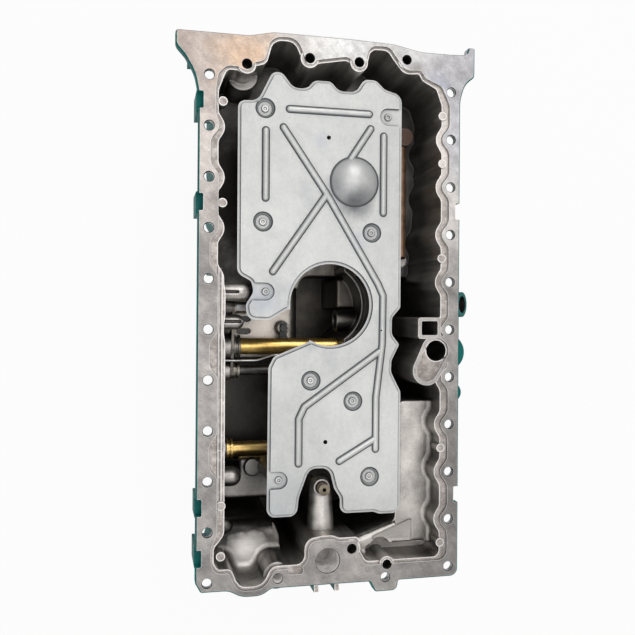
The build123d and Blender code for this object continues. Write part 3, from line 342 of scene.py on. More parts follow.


# The casting: machined face, ledge, oily inside with painted shade and painted light, and
# teal-painted outside
#
# A colour with one number beside it is laid over the rest at that share. A patch (a stain,
# painted shade or painted light) is its place, its reach, its share and its colour. Grain is the
# scale of the fine grain and of the clouds, and bump is its strength and its height. Lengths are
# in metres.

castLook = {
    "edgeRadius": 0.0010,
    "smoothAngle": 28,
    "chamfer": 0.0007,  # round the mouths of the holes in the face
    # the near-white bore finish is painted light: the view through the left end bolt hole and the
    # lit bottom of the oil port
    "boreFinish": {
        "low_end_bolt_left": "paintedLightBore", "low_end_bolt_right": "brightBore",
        "oil_port": "paintedLightBore",
    },
    "boreReach": 0.09,  # how far a bore goes on from its mouth
    "flatNormal": 0.9,
    "faceDepth": 0.0003,
    "ledgeDepth": 0.0035,
    "bareRim": {"depth": 0.0098, "from": 0.20, "normal": 0.3},  # machined end of the wings
    "floorSlots": {"places": ((-0.078, 0.0096), (-0.078, -0.0044)), "half": (0.0083, 0.003),
                   "top": -0.1101},
    "paintRays": {"turns": 12, "slopes": (0.0, -0.25, -0.9), "start": 0.0006, "grazing": -0.05,
                  "enough": 2},  # painted where at least two rays leave the casting
    "face": {
        "metallic": 0.65, "roughness": 0.36, "roughnessRange": (0.5, 0.38),
        "grain": (700.0, 16.0), "mottle": (700.0, 75.0), "bump": (0.12, 0.0002),
        "colour": (0.38, 0.355, 0.335), "dull": (0.20, 0.19, 0.185),
        # painted sheen on the far end of the face
        "paintedLight": ((0.47, 0.46, 0.45), 0.85),
        "warm": ((0.37, 0.285, 0.24), 0.7),
        "lilac": ((0.34, 0.335, 0.36), 0.7),
        "scratch": ((0.60, 0.59, 0.58), 0.25),
        # painted highlight along the edges of the face
        "edge": ((0.78, 0.77, 0.76), 0.7),
        "farEnd": (0.06, 0.24), "warmSide": (0.02, -0.15), "lilacSide": (0.06, 0.15),
        "scratches": {"Turn": 0.5, "Length": 0.05},
        "strokes": {"Turn": 0.9, "Length": 0.3, "Fineness": 170.0},
        "strokeTone": (0.86, 1.12), "mottleTone": (0.84, 1.12),
        # stains, and painted sheen where the patches are light
        "stainsAndPaintedLight": (
            ((-0.132, 0.060, 0.0), 0.085, 0.75, (0.20, 0.185, 0.175)),
            ((-0.090, 0.270, 0.0), 0.046, 0.65, (0.56, 0.37, 0.23)),
            ((0.088, 0.268, 0.0), 0.012, 0.7, (0.17, 0.15, 0.135)),
            ((0.112, 0.255, 0.0), 0.020, 0.5, (0.40, 0.41, 0.52)),
            ((-0.131, 0.175, 0.0), 0.050, 0.5, (0.62, 0.57, 0.53)),
            ((0.126, 0.130, 0.0), 0.050, 0.55, (0.66, 0.62, 0.58)),
            ((0.005, 0.284, 0.0), 0.045, 0.5, (0.56, 0.56, 0.55)),
            ((0.140, -0.160, 0.0), 0.105, 0.75, (0.13, 0.125, 0.12)),
            ((0.120, 0.262, 0.0), 0.035, 0.25, (0.24, 0.235, 0.26)),
            ((0.134, 0.200, 0.0), 0.055, 0.5, (0.50, 0.49, 0.51)),
            ((0.125, -0.245, 0.0), 0.040, 0.5, (0.16, 0.155, 0.15)),
            ((-0.089, -0.252, 0.0), 0.035, 0.4, (0.16, 0.155, 0.15)),
        ),
    },
    "ledge": {
        "metallic": 0.45, "roughness": 0.5, "grain": (800.0, 110.0), "bump": (0.35, 0.0004),
        "colour": (0.52, 0.47, 0.44), "dull": (0.26, 0.225, 0.205),
        "specks": ((0.8, 0.78, 0.76), 0.5),
        # painted highlight along the inner edge of the ledge
        "edge": ((0.97, 0.95, 0.93), 1.0), "edgeRadius": 0.0022,
        # painted shade along the foot of the ledge's steps, in the creases
        "creaseShadow": ((0.07, 0.065, 0.06), 0.9), "creaseShadowReach": 0.0018,
        # thin lines of painted highlight and painted shade along the left ledge, for a small step
        # there: x and brightness of each
        "stripLines": ((-0.1140, 0.08), (-0.1128, 0.80), (-0.1162, 0.62), (-0.1172, 0.12)),
        "stripTint": (1.0, 0.96, 0.93), "stripWidth": (0.0008, 0.0003), "stripShare": 0.8,
        "stripStart": (-0.19, -0.17), "stripEnd": (0.10, 0.07), "stripHeight": (-0.0025, -0.0028),
        # stains, and painted light where the patches are light
        "stainsAndPaintedLight": (
            ((0.120, 0.190, -0.0025), 0.080, 0.6, (0.82, 0.76, 0.72)),
            ((0.118, -0.060, -0.0025), 0.045, 0.6, (0.16, 0.145, 0.135)),
            ((0.118, -0.215, -0.0025), 0.045, 0.5, (0.20, 0.18, 0.165)),
        ),
    },
    "inside": {
        "metallic": 0.88, "roughness": 0.38, "roughnessRange": (0.3, 0.46),
        "grain": (520.0, 22.0), "bump": (0.4, 0.0005),
        "colour": (0.28, 0.265, 0.25), "dark": (0.085, 0.081, 0.075),
        # painted light on the floors, lighter than the walls
        "floorLight": (0.62, 0.585, 0.55),  # the shallow floors
        "floorNormal": (0.75, 0.97),
        # painted highlight in vertical streaks down the walls
        "streakHighlight": ((0.30, 0.285, 0.265), 0.6),
        # painted shade, darker towards the bottom of the sump
        "deep": ((0.018, 0.016, 0.014), 0.93), "deepHeight": (-0.10, -0.16),
        # painted highlight along the edges inside, fainter deep down
        "edge": (0.74, 0.71, 0.68), "edgeRadius": 0.0025, "edgeShare": (0.5, 0.05),
        # painted shade in the creases inside the pan
        "creaseShadowReach": 0.012, "creaseShadowShare": 0.5,
        # painted shade where the pan is deep or covered
        "coverShadeReach": 0.09, "coverShadeRange": (0.54, 0.22), "coverShadeShare": 0.85,
        # painted light on the upper walls, lighter towards the ledge
        "wallTopLight": (0.88, 0.83, 0.77), "wallTopHeight": (-0.055, -0.003), "wallTopShare": 0.68,
        "wallTopStreaks": (0.45, 1.0),
        # stains and patches of painted shade and painted light, laid under the painted shade
        "stainsAndLightBeforeShade": (
            ((-0.050, 0.010, -0.110), 0.050, 0.6, (0.50, 0.45, 0.40)),
            ((0.015, 0.040, -0.100), 0.060, 0.92, (0.03, 0.025, 0.02)),
            ((0.034, 0.020, -0.060), 0.060, 0.9, (0.03, 0.026, 0.022)),
            ((0.020, 0.085, -0.060), 0.070, 0.9, (0.03, 0.026, 0.022)),
            ((-0.082, -0.203, -0.052), 0.056, 0.95, (0.045, 0.041, 0.037)),
            ((0.096, 0.213, -0.051), 0.030, 0.95, (0.07, 0.045, 0.035)),
            ((0.103, 0.242, -0.090), 0.050, 0.8, (0.03, 0.027, 0.024)),
            ((0.092, 0.150, -0.085), 0.060, 0.8, (0.03, 0.027, 0.024)),
            ((-0.097, 0.150, -0.087), 0.130, 0.95, (0.012, 0.011, 0.010)),
            ((-0.069, -0.180, -0.102), 0.034, 0.65, (0.12, 0.115, 0.11)),
        ),
        # stains and patches of painted shade and painted light, laid over the painted shade
        "stainsAndLightAfterShade": (
            ((-0.084, -0.208, -0.059), 0.046, 0.95, (0.010, 0.009, 0.008)),
            ((-0.083, -0.260, -0.030), 0.046, 0.95, (0.012, 0.011, 0.010)),
            ((-0.100, 0.165, -0.090), 0.130, 0.92, (0.012, 0.011, 0.010)),
            ((-0.079, -0.240, -0.058), 0.024, 0.9, (0.84, 0.80, 0.76)),
            ((0.110, -0.243, -0.045), 0.075, 0.7, (0.40, 0.375, 0.35)),
            ((-0.050, -0.020, -0.110), 0.070, 0.35, (0.46, 0.41, 0.36)),
            ((0.012, 0.025, -0.120), 0.060, 0.3, (0.26, 0.22, 0.17)),
            ((-0.070, -0.158, -0.098), 0.036, 0.5, (0.11, 0.105, 0.10)),
            ((-0.087, 0.252, -0.050), 0.022, 0.7, (0.62, 0.59, 0.55)),
            ((0.126, 0.240, -0.045), 0.060, 0.4, (0.26, 0.25, 0.23)),
            ((0.130, 0.150, -0.045), 0.065, 0.35, (0.26, 0.25, 0.23)),
            ((0.105, -0.010, -0.045), 0.060, 0.4, (0.24, 0.23, 0.21)),
            ((0.096, 0.213, -0.051), 0.024, 0.9, (0.05, 0.030, 0.022)),
            ((0.119, -0.085, -0.011), 0.030, 0.8, (0.04, 0.037, 0.034)),
            ((0.119, -0.135, -0.011), 0.030, 0.8, (0.04, 0.037, 0.034)),
            ((0.119, -0.185, -0.011), 0.030, 0.8, (0.04, 0.037, 0.034)),
            ((0.112, -0.228, -0.011), 0.028, 0.8, (0.04, 0.037, 0.034)),
        ),
    },
    "paint": {
        "roughness": 0.55, "specular": 0.2, "grain": (500.0, 28.0), "bump": (0.35, 0.0004),
        "colour": (0.0015, 0.105, 0.10), "worn": (0.004, 0.17, 0.155), "chip": (0.4, 0.39, 0.38),
    },
    "bores": {
        # painted light: a near-white bore
        "paintedLightBore": {
            "metallic": 0.1, "roughness": 0.5, "grain": (900.0, 110.0), "bump": (0.1, 0.0002),
            "dull": (0.55, 0.53, 0.51), "colour": (0.93, 0.91, 0.89),
        },
        "brightBore": {
            "metallic": 0.5, "roughness": 0.4, "grain": (900.0, 90.0), "bump": (0.1, 0.0002),
            "dull": (0.40, 0.395, 0.39), "colour": (0.66, 0.66, 0.66),
        },
        # painted shade: a near-black finish for the tapped holes, the floor slots and the chamfers
        # at the hole mouths
        "shadeBlack": {
            "metallic": 0.2, "roughness": 0.35, "grain": (900.0, 90.0), "bump": (0.2, 0.0003),
            "dull": (0.008, 0.008, 0.007), "colour": (0.03, 0.028, 0.026),
        },
    },
}


def machinedAluminium():
    look = castLook["face"]
    material, tree, shader = newMaterial(
        "machinedAluminium", look["colour"], look["metallic"], look["roughness"])
    grain = addGrain(tree, look["grain"])
    mottle = addGrain(tree, look["mottle"])
    marks = placeGroup(tree, fineScratches, **look["scratches"])
    strokes = placeGroup(tree, fineScratches, **look["strokes"])
    x, y = splitVector(tree, objectPlace(tree))[:2]
    farEnd = ramp(tree, y, *look["farEnd"])
    warm = times(tree, ramp(tree, x, *look["warmSide"]), farEnd)
    lilac = times(tree, ramp(tree, x, *look["lilacSide"]), farEnd)
    colour = mixColour(tree, grain["Clouds"], look["dull"], look["colour"])
    # painted sheen on the far end of the face
    colour = coat(tree, colour, farEnd, *look["paintedLight"])
    colour = coat(tree, colour, warm, *look["warm"])
    colour = coat(tree, colour, lilac, *look["lilac"])
    # stains and painted sheen in patches
    colour = addStainsAndPaintedLight(tree, colour, look["stainsAndPaintedLight"])
    colour = tinted(tree, colour, toneOf(tree, strokes["Height"], *look["strokeTone"]))
    colour = tinted(tree, colour, between(tree, mottle["Clouds"], *look["mottleTone"]))
    colour = tinted(tree, colour, grain["Tone"])
    colour = coat(tree, colour, marks["Lines"], *look["scratch"])
    edge = placeGroup(tree, softEdge, Radius=castLook["edgeRadius"])
    # painted highlight along the edges
    colour = coat(tree, colour, edge["Edge"], *look["edge"])
    wire(tree, colour, shader.inputs["Base Color"])
    roughness = between(tree, grain["Clouds"], *look["roughnessRange"])
    wire(tree, roughness, shader.inputs["Roughness"])
    addBump(tree, shader, marks["Height"], look["bump"])
    return material


def ledgeCast():
    look = castLook["ledge"]
    material, tree, shader = newMaterial(
        "ledgeCast", look["colour"], look["metallic"], look["roughness"])
    grain = addGrain(tree, look["grain"])
    colour = mixColour(tree, grain["Clouds"], look["dull"], look["colour"])
    # stains and painted light in patches
    colour = addStainsAndPaintedLight(tree, colour, look["stainsAndPaintedLight"])
    colour = tinted(tree, colour, grain["Tone"])
    x, y, z = splitVector(tree, objectPlace(tree))
    strip = ramp(tree, z, *look["stripHeight"], 0.0, look["stripShare"])
    strip = times(tree, strip, ramp(tree, y, *look["stripStart"]))
    strip = times(tree, strip, ramp(tree, y, *look["stripEnd"]))
    # painted highlight and painted shade lines along the left ledge
    for place, paintedLight in look["stripLines"]:
        away = mathNode(tree, "ABSOLUTE", mathNode(tree, "SUBTRACT", x, place))
        line = ramp(tree, away, *look["stripWidth"])
        tone = tuple(paintedLight * share for share in look["stripTint"])
        colour = coat(tree, colour, line, tone, strip)
    colour = coat(tree, colour, grain["Specks"], *look["specks"])
    edge = placeGroup(tree, softEdge, Radius=look["edgeRadius"])
    # painted highlight along the inner edge
    colour = coat(tree, colour, edge["Edge"], *look["edge"])
    # painted shade in the creases of the ledge
    creaseShadow = placeGroup(tree, creaseShade, Reach=look["creaseShadowReach"])
    colour = coat(tree, colour, creaseShadow["Crease"], *look["creaseShadow"])
    wire(tree, colour, shader.inputs["Base Color"])
    addBump(tree, shader, grain["Height"], look["bump"])
    return material


def insideCast():
    look = castLook["inside"]
    material, tree, shader = newMaterial(
        "insideCast", look["colour"], look["metallic"], look["roughness"])
    grain = addGrain(tree, look["grain"])
    streaks = placeGroup(tree, highlightStreaks)["Streaks"]
    z = splitVector(tree, objectPlace(tree))[2]
    floors = ramp(tree, upwardShare(tree), *look["floorNormal"])
    wallColour = mixColour(tree, grain["Clouds"], look["dark"], look["colour"])
    # painted highlight in streaks down the walls
    wallColour = coat(tree, wallColour, streaks, *look["streakHighlight"])
    # painted light on the floors
    floorLight = mixColour(tree, grain["Clouds"], look["colour"], look["floorLight"])
    colour = mixColour(tree, floors, wallColour, floorLight)
    # stains and patches of painted shade and painted light
    colour = addStainsAndPaintedLight(tree, colour, look["stainsAndLightBeforeShade"])
    # painted shade, darker towards the bottom
    deepDark = look["deep"][0]
    deep = ramp(tree, z, *look["deepHeight"])
    colour = coat(tree, colour, deep, *look["deep"])
    colour = tinted(tree, colour, grain["Tone"])
    edge = placeGroup(tree, softEdge, Radius=look["edgeRadius"])
    # painted highlight along the edges, fainter deep down
    shine = times(tree, edge["Edge"], between(tree, deep, *look["edgeShare"]))
    colour = mixColour(tree, shine, colour, look["edge"])
    # painted shade in the creases
    creaseShadow = placeGroup(tree, creaseShade, Reach=look["creaseShadowReach"])
    colour = coat(tree, colour, creaseShadow["Crease"], deepDark, look["creaseShadowShare"])
    shade = addNode(tree, "ShaderNodeAmbientOcclusion", samples=8, in_Distance=look["coverShadeReach"])
    # painted shade where the pan is deep or covered, found by ambient occlusion
    coverShade = ramp(tree, shade.outputs["AO"], *look["coverShadeRange"], 0.0, look["coverShadeShare"])
    colour = mixColour(tree, coverShade, colour, deepDark)
    # painted light on the upper walls
    wallTopLight = ramp(tree, z, *look["wallTopHeight"], 0.0, look["wallTopShare"])
    wallTopLight = times(tree, wallTopLight, mathNode(tree, "SUBTRACT", 1.0, floors))
    wallTopLight = times(tree, wallTopLight, between(tree, streaks, *look["wallTopStreaks"]))
    colour = mixColour(tree, wallTopLight, colour, look["wallTopLight"])
    # stains and patches of painted shade and painted light
    colour = addStainsAndPaintedLight(tree, colour, look["stainsAndLightAfterShade"])
    wire(tree, colour, shader.inputs["Base Color"])
    roughness = between(tree, grain["Clouds"], *look["roughnessRange"])
    wire(tree, roughness, shader.inputs["Roughness"])
    addBump(tree, shader, grain["Height"], look["bump"], edge["Normal"])
    return material


def tealPaint():
    look = castLook["paint"]
    material, tree, shader = newMaterial("tealPaint", look["colour"], 0.0, look["roughness"])
    shader.inputs["Specular IOR Level"].default_value = look["specular"]
    grain = addGrain(tree, look["grain"])
    colour = mixColour(tree, grain["Clouds"], look["colour"], look["worn"])
    edge = placeGroup(tree, softEdge, Radius=castLook["edgeRadius"])
    chips = times(tree, edge["Edge"], grain["Specks"])
    colour = mixColour(tree, chips, colour, look["chip"])
    wire(tree, colour, shader.inputs["Base Color"])
    addBump(tree, shader, grain["Height"], look["bump"], edge["Normal"])
    return material


def boreMetal(name):
    look = castLook["bores"][name]
    material, tree, shader = newMaterial(name, look["colour"], look["metallic"], look["roughness"])
    grain = addGrain(tree, look["grain"])
    colour = mixColour(tree, grain["Clouds"], look["dull"], look["colour"])
    wire(tree, colour, shader.inputs["Base Color"])
    addBump(tree, shader, grain["Height"], look["bump"])
    return material


def findBores():
    # centre, direction, radius and finish of each round hole, from the mounts of the record
    found = []
    for mount in frame["record"]["mounts"]:
        size = mount.get("dims") or {}
        axis = Vector(mount["axis"]).normalized()
        centre = Vector(mount["pos_m"])
        if "hole_r_mm" in size:
            halfX = size.get("spacing_x_mm", 0) / 2000
            halfY = size.get("spacing_y_mm", 0) / 2000
            for side in (-1, 1):
                for end in ((-1, 1) if halfY else (1,)):
                    place = centre + Vector((side * halfX, end * halfY, 0))
                    found.append((place, axis, size["hole_r_mm"] / 1000, "brightBore"))
        elif "r_mm" in size:
            finish = castLook["boreFinish"].get(mount["name"], "shadeBlack")
            found.append((centre, axis, size["r_mm"] / 1000, finish))
    return found


def boreAt(place, bores, slack):
    for centre, axis, radius, finish in bores:
        away = place - centre
        along = away.dot(axis)
        if abs(along) < castLook["boreReach"] and (away - axis * along).length < radius + slack:
            return centre, finish
    return None


def inFloorSlot(place):
    slots = castLook["floorSlots"]
    halfX, halfY = slots["half"]
    return place.z < slots["top"] and any(
        abs(place.x - x) < halfX and abs(place.y - y) < halfY for x, y in slots["places"])


def finishOf(face, tree, bores, rays):
    look = castLook
    middle, normal = face.center, face.normal
    flat = normal.z > look["flatNormal"]
    if flat and middle.z > -look["faceDepth"]:
        return "face"
    bore = boreAt(middle, bores, look["chamfer"])
    if bore:
        # painted shade on the chamfers and in the tapped holes
        return "shadeBlack" if middle.z > -look["chamfer"] else bore[1]
    # painted shade in the floor slots
    if inFloorSlot(middle):
        return "shadeBlack"
    if flat and middle.z > -look["ledgeDepth"]:
        return "ledge"
    rim = look["bareRim"]
    if middle.z > -rim["depth"] and middle.y > rim["from"] and normal.y > rim["normal"]:
        return "face"
    rule = look["paintRays"]
    start = middle + normal * rule["start"]
    escaped = 0
    for ray in rays:
        if ray.dot(normal) > rule["grazing"] and tree.ray_cast(start, ray)[0] is None:
            escaped += 1
    return "paint" if escaped >= rule["enough"] else "inside"


def outwardRays():
    rule = castLook["paintRays"]
    rays = [Vector((0, 0, -1))]
    for step in range(rule["turns"]):
        turn = math.tau * step / rule["turns"]
        for slope in rule["slopes"]:
            rays.append(Vector((math.cos(turn), math.sin(turn), slope)).normalized())
    return rays


def breakBoreEdges(mesh, bores):
    # a small chamfer round the mouth of every hole in the machined face, coloured near black as
    # painted shade
    chamfer = castLook["chamfer"]
    onFace = -1e-5
    slack = 2e-4
    edit = bmesh.new()
    edit.from_mesh(mesh)
    everything = edit.verts[:] + edit.edges[:] + edit.faces[:]
    bmesh.ops.bisect_plane(edit, geom=everything, plane_co=(0, 0, -chamfer), plane_no=(0, 0, 1))
    for vertex in edit.verts:
        bore = boreAt(vertex.co, bores, slack) if vertex.co.z >= onFace else None
        if bore:
            away = Vector((vertex.co.x - bore[0].x, vertex.co.y - bore[0].y, 0))
            vertex.co += away.normalized() * chamfer
    edit.to_mesh(mesh)
    edit.free()


def dressCasting():
    mesh = nodes["pan_casting"].data.copy()
    body = bpy.data.objects.new("panBody", mesh)
    scene.collection.objects.link(body)
    finishes = {
        "face": machinedAluminium(), "ledge": ledgeCast(), "inside": insideCast(),
        "paint": tealPaint(),
    }
    for name in castLook["bores"]:
        finishes[name] = boreMetal(name)
    mesh.materials.clear()
    for material in finishes.values():
        mesh.materials.append(material)
    bores = findBores()
    breakBoreEdges(mesh, bores)
    corners = [vertex.co.copy() for vertex in mesh.vertices]
    tree = BVHTree.FromPolygons(corners, [tuple(face.vertices) for face in mesh.polygons])
    rays = outwardRays()
    order = list(finishes)
    counts = dict.fromkeys(order, 0)
    for face in mesh.polygons:
        finish = finishOf(face, tree, bores, rays)
        face.use_smooth = True
        face.material_index = order.index(finish)
        counts[finish] += 1
    mesh.set_sharp_from_angle(angle=math.radians(castLook["smoothAngle"]))
    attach(body, "root")
    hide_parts("pan_casting")
    print("casting dressed, faces of each finish:", counts)


# The baffle plate: zinc-plated sheet with smudges, painted shade in its folds, creases and slopes,
# and painted highlight on its edges

plateLook = {
    "metallic": 0.35, "roughness": 0.45, "roughnessRange": (0.34, 0.48), "bump": (0.08, 0.0002),
    "grain": (1500.0, 60.0), "patches": (300.0, 13.0),
    "patchTone": (0.95, 1.04), "grainTone": (0.95, 1.05),
    "colour": (0.54, 0.54, 0.525),
    "cool": ((0.42, 0.43, 0.43), 0.4),
    "smudge": ((0.33, 0.35, 0.38), 0.4), "smudgeClouds": (0.6, 1.0),
    "scratches": {"Turn": 1.571, "Length": 0.04},
    "scratch": ((0.78, 0.78, 0.77), 0.3),
    # painted shade on the steep sides of beads, dimples and the dome
    "side": ((0.24, 0.25, 0.26), 0.7),
    # painted highlight along the edges of the sheet
    "edge": ((0.80, 0.81, 0.82), 0.5), "edgeRadius": 0.0009,
    # painted shade: a dark band on the panel's border slope and in the creases
    "foldShade": ((0.07, 0.078, 0.085), 0.95),
    "panelHeight": -0.0224,
    "foldStart": (0.00006, 0.00014), "foldEnd": (0.0018, 0.0009),  # off the panel's height
    "creaseShadowReach": 0.0045,
    # smudges, and painted shade on the dome's slopes
    "stainsAndPaintedLight": (
        ((-0.008, 0.197, -0.022), 0.012, 0.45, (0.36, 0.38, 0.44)),
        ((0.034, 0.094, -0.022), 0.012, 0.4, (0.38, 0.40, 0.45)),
        ((0.066, -0.129, -0.022), 0.100, 0.6, (0.72, 0.72, 0.71)),
        ((-0.048, -0.177, -0.022), 0.045, 0.5, (0.42, 0.45, 0.46)),
        ((0.028, 0.133, -0.022), 0.024, 0.95, (0.07, 0.078, 0.085)),
        ((0.007, 0.150, -0.020), 0.014, 0.5, (0.16, 0.17, 0.18)),
        ((-0.070, 0.030, -0.022), 0.020, 0.5, (0.34, 0.38, 0.44)),
    ),
}


def zincSheet():
    look = plateLook
    material, tree, shader = newMaterial(
        "zincSheet", look["colour"], look["metallic"], look["roughness"])
    grain = addGrain(tree, look["grain"])
    patches = addGrain(tree, look["patches"])
    marks = placeGroup(tree, fineScratches, **look["scratches"])
    colour = coat(tree, look["colour"], grain["Clouds"], *look["cool"])
    smudged = ramp(tree, patches["Clouds"], *look["smudgeClouds"])
    colour = coat(tree, colour, smudged, *look["smudge"])
    # smudges and painted shade in patches
    colour = addStainsAndPaintedLight(tree, colour, look["stainsAndPaintedLight"])
    colour = coat(tree, colour, marks["Lines"], *look["scratch"])
    colour = tinted(tree, colour, between(tree, patches["Clouds"], *look["patchTone"]))
    colour = tinted(tree, colour, toneOf(tree, patches["Height"], *look["grainTone"]))
    # painted shade on the steep sides
    colour = coat(tree, colour, placeGroup(tree, steepSides)["Steep"], *look["side"])
    # painted highlight along the edges
    edge = placeGroup(tree, softEdge, Radius=look["edgeRadius"])
    colour = coat(tree, colour, edge["Edge"], *look["edge"])
    # painted shade along the panel's border slope
    z = splitVector(tree, objectPlace(tree))[2]
    step = mathNode(tree, "ABSOLUTE", mathNode(tree, "SUBTRACT", z, look["panelHeight"]))
    foldShade = times(tree, ramp(tree, step, *look["foldStart"]), ramp(tree, step, *look["foldEnd"]))
    colour = coat(tree, colour, foldShade, *look["foldShade"])
    # painted shade in the creases of the sheet
    creaseShadow = placeGroup(tree, creaseShade, Reach=look["creaseShadowReach"])
    colour = coat(tree, colour, creaseShadow["Crease"], *look["foldShade"])
    wire(tree, colour, shader.inputs["Base Color"])
    roughness = between(tree, patches["Clouds"], *look["roughnessRange"])
    wire(tree, roughness, shader.inputs["Roughness"])
    addBump(tree, shader, marks["Height"], look["bump"])
    return material


# Small fittings

fittingLook = {
    "grain": (1200.0, 70.0), "bump": (0.08, 0.0002), "scratches": {"Turn": 1.571, "Length": 0.08},
    # painted highlight along the edges of the fittings
    "edgeRadius": 0.0004, "edgeShare": 0.5, "edgeGain": (1.35, 0.03),
    # painted shade in the creases of the fittings
    "creaseShadowReach": 0.0016, "creaseShadowShare": 0.8, "creaseShadowTone": 0.2,
    "metals": {
        "brightSteel": {
            "pieces": ("vent_tube", "flange_bolts", "drain_plug"),
            "colour": (0.50, 0.50, 0.50), "dull": (0.26, 0.25, 0.24),
            "metallic": 0.9, "roughness": 0.34,
        },
        "rivetSteel": {
            "pieces": ("baffle_rivets", "lug_rivets"),
            "colour": (0.56, 0.56, 0.55), "dull": (0.32, 0.32, 0.32),
            "metallic": 0.75, "roughness": 0.38,
        },
        "darkSteel": {
            "pieces": ("drain_pipe", "pickup_body", "pickup_screen"),
            "colour": (0.10, 0.095, 0.09), "dull": (0.045, 0.042, 0.04),
            "metallic": 0.8, "roughness": 0.36,
        },
        "yellowSteel": {
            "pieces": ("feed_pipe",),
            "colour": (0.70, 0.48, 0.16), "dull": (0.44, 0.28, 0.08),
            "metallic": 0.9, "roughness": 0.33,
        },
        # a lighter copy of the yellow steel: painted light
        "litYellowSteel": {
            "pieces": ("suction_pipe", "suction_collar"),
            "colour": (0.92, 0.66, 0.27), "dull": (0.62, 0.42, 0.14),
            "metallic": 0.9, "roughness": 0.33,
        },
        "blackSteel": {
            "pieces": ("pipe_clip", "clip_bolt"),
            "colour": (0.030, 0.029, 0.028), "dull": (0.012, 0.012, 0.012),
            "metallic": 0.5, "roughness": 0.4,
        },
        # the yellow steel darkened to brown: painted shade
        "shadedYellowSteel": {
            "pieces": ("side_pipe",),
            "colour": (0.25, 0.15, 0.09), "dull": (0.12, 0.07, 0.04),
            "metallic": 0.6, "roughness": 0.42,
        },
        "collarSteel": {
            "pieces": ("feed_collar", "drain_collar", "pipe_flange"),
            "colour": (0.24, 0.22, 0.19), "dull": (0.10, 0.09, 0.08),
            "metallic": 0.85, "roughness": 0.34,
        },
        "bronze": {
            "pieces": ("nipple",),
            "colour": (0.20, 0.165, 0.12), "dull": (0.09, 0.075, 0.055),
            "metallic": 0.8, "roughness": 0.4,
        },
        "copper": {
            "pieces": ("drain_washer",),
            "colour": (0.56, 0.30, 0.18), "dull": (0.30, 0.15, 0.08),
            "metallic": 0.9, "roughness": 0.4,
        },
        "sealRubber": {
            "pieces": ("feed_seal", "drain_seal", "suction_seal"),
            "colour": (0.022, 0.022, 0.022), "dull": (0.014, 0.014, 0.014),
            "metallic": 0.0, "roughness": 0.6,
        },
    },
}


def fittingMetal(name, metal):
    look = fittingLook
    material, tree, shader = newMaterial(
        name, metal["colour"], metal["metallic"], metal["roughness"])
    grain = addGrain(tree, look["grain"])
    marks = placeGroup(tree, fineScratches, **look["scratches"])
    colour = mixColour(tree, grain["Clouds"], metal["colour"], metal["dull"])
    edge = placeGroup(tree, softEdge, Radius=look["edgeRadius"])
    # painted highlight along the edges
    gain, lift = look["edgeGain"]
    paintedLight = tuple(min(1.0, part * gain + lift) for part in metal["colour"])
    colour = coat(tree, colour, edge["Edge"], paintedLight, look["edgeShare"])
    # painted shade in the creases
    creaseShadow = placeGroup(tree, creaseShade, Reach=look["creaseShadowReach"])
    creaseShadowColour = tuple(part * look["creaseShadowTone"] for part in metal["dull"])
    colour = coat(tree, colour, creaseShadow["Crease"], creaseShadowColour, look["creaseShadowShare"])
    wire(tree, colour, shader.inputs["Base Color"])
    addBump(tree, shader, marks["Height"], look["bump"], edge["Normal"])
    return material


def finishNode(name, material):
    mesh = nodes[name].data
    if not mesh.materials:
        mesh.materials.append(material)
    for i in range(len(mesh.materials)):
        mesh.materials[i] = material


dressCasting()
finishNode("baffle_plate", zincSheet())
for metalName, metalLook in fittingLook["metals"].items():
    metalFinish = fittingMetal(metalName, metalLook)
    for piece in metalLook["pieces"]:
        finishNode(piece, metalFinish)
print("plate and fittings finished")


# Floor, light and camera

studio = {
    "floorSize": 6.0,
    "floorColour": (0.86, 0.86, 0.86),
    "floorRoughness": 0.9,
    "floorGlow": 0.94,  # share of plain white that the camera sees on the floor
    "worldStrength": 0.30,
    "cameraPlace": (-0.18524, 0.01651, 0.74090),
    "cameraTurn": (-0.4119, -12.8170, 0.3701),
    "cameraLens": 42.52,
    "sensorWidth": 36.0,
    "clipStart": 0.01,
    "lampAim": (0, 0, -0.05),
    "lights": {
        "keyLight": {"place": (0.45, 1.5, 1.7), "size": 0.7, "power": 12.5},
        "fillLight": {"place": (-0.8, -0.7, 1.5), "size": 1.4, "power": 5.0},
        "topLight": {"place": (0.2, 0.1, 1.9), "size": 1.2, "power": 9.0},
    },
}


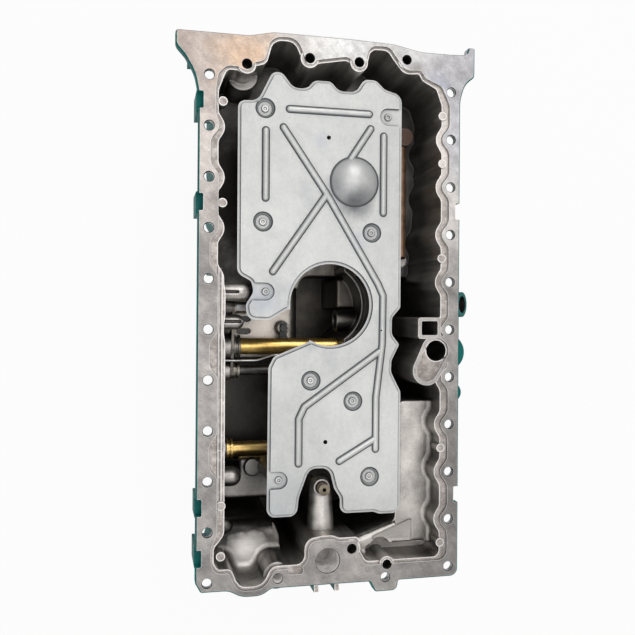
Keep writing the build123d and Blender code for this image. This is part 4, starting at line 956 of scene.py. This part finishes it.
def makeFloor():
    half = studio["floorSize"] / 2
    low = cadBox[0][2]
    corners = [(-half, -half, low), (half, -half, low), (half, half, low), (-half, half, low)]
    mesh = bpy.data.meshes.new("floor")
    mesh.from_pydata(corners, [], [(0, 1, 2, 3)])
    floor = bpy.data.objects.new("floor", mesh)
    scene.collection.objects.link(floor)
    material, tree, shader = newMaterial(
        "paleFloor", studio["floorColour"], 0.0, studio["floorRoughness"])
    glow = addNode(tree, "ShaderNodeEmission", in_Strength=1.0)
    path = addNode(tree, "ShaderNodeLightPath").outputs
    seen = mathNode(tree, "MAXIMUM", path["Is Camera Ray"], path["Is Glossy Ray"])
    blend = addNode(tree, "ShaderNodeMixShader")
    wire(tree, times(tree, seen, studio["floorGlow"]), blend.inputs[0])
    wire(tree, shader.outputs[0], blend.inputs[1])
    wire(tree, glow.outputs[0], blend.inputs[2])
    wire(tree, blend.outputs[0], tree.nodes["Material Output"].inputs["Surface"])
    mesh.materials.append(material)


def makeWorld():
    world = bpy.data.worlds.new("studioWorld")
    scene.world = world
    world.use_nodes = True
    tree = world.node_tree
    back = tree.nodes["Background"]
    back.inputs["Color"].default_value = (1, 1, 1, 1)
    path = addNode(tree, "ShaderNodeLightPath").outputs
    seen = mathNode(tree, "MAXIMUM", path["Is Camera Ray"], path["Is Glossy Ray"])
    seen = mathNode(tree, "MAXIMUM", seen, path["Is Transmission Ray"])
    wire(tree, between(tree, seen, studio["worldStrength"], 1.0), back.inputs["Strength"])


def makeLights():
    for name, light in studio["lights"].items():
        lamp = bpy.data.lights.new(name, "AREA")
        lamp.energy = light["power"]
        lamp.size = light["size"]
        holder = bpy.data.objects.new(name, lamp)
        scene.collection.objects.link(holder)
        holder.location = light["place"]
        aim = Vector(studio["lampAim"]) - holder.location
        holder.rotation_euler = aim.to_track_quat("-Z", "Y").to_euler()


def makeCamera():
    camera = bpy.data.cameras.new("photoCamera")
    camera.lens = studio["cameraLens"]
    camera.sensor_width = studio["sensorWidth"]
    camera.clip_start = studio["clipStart"]
    holder = bpy.data.objects.new("photoCamera", camera)
    scene.collection.objects.link(holder)
    holder.location = studio["cameraPlace"]
    holder.rotation_euler = Euler([math.radians(angle) for angle in studio["cameraTurn"]], "XYZ")
    scene.camera = holder


makeFloor()
makeWorld()
makeLights()
makeCamera()
print("studio ready")
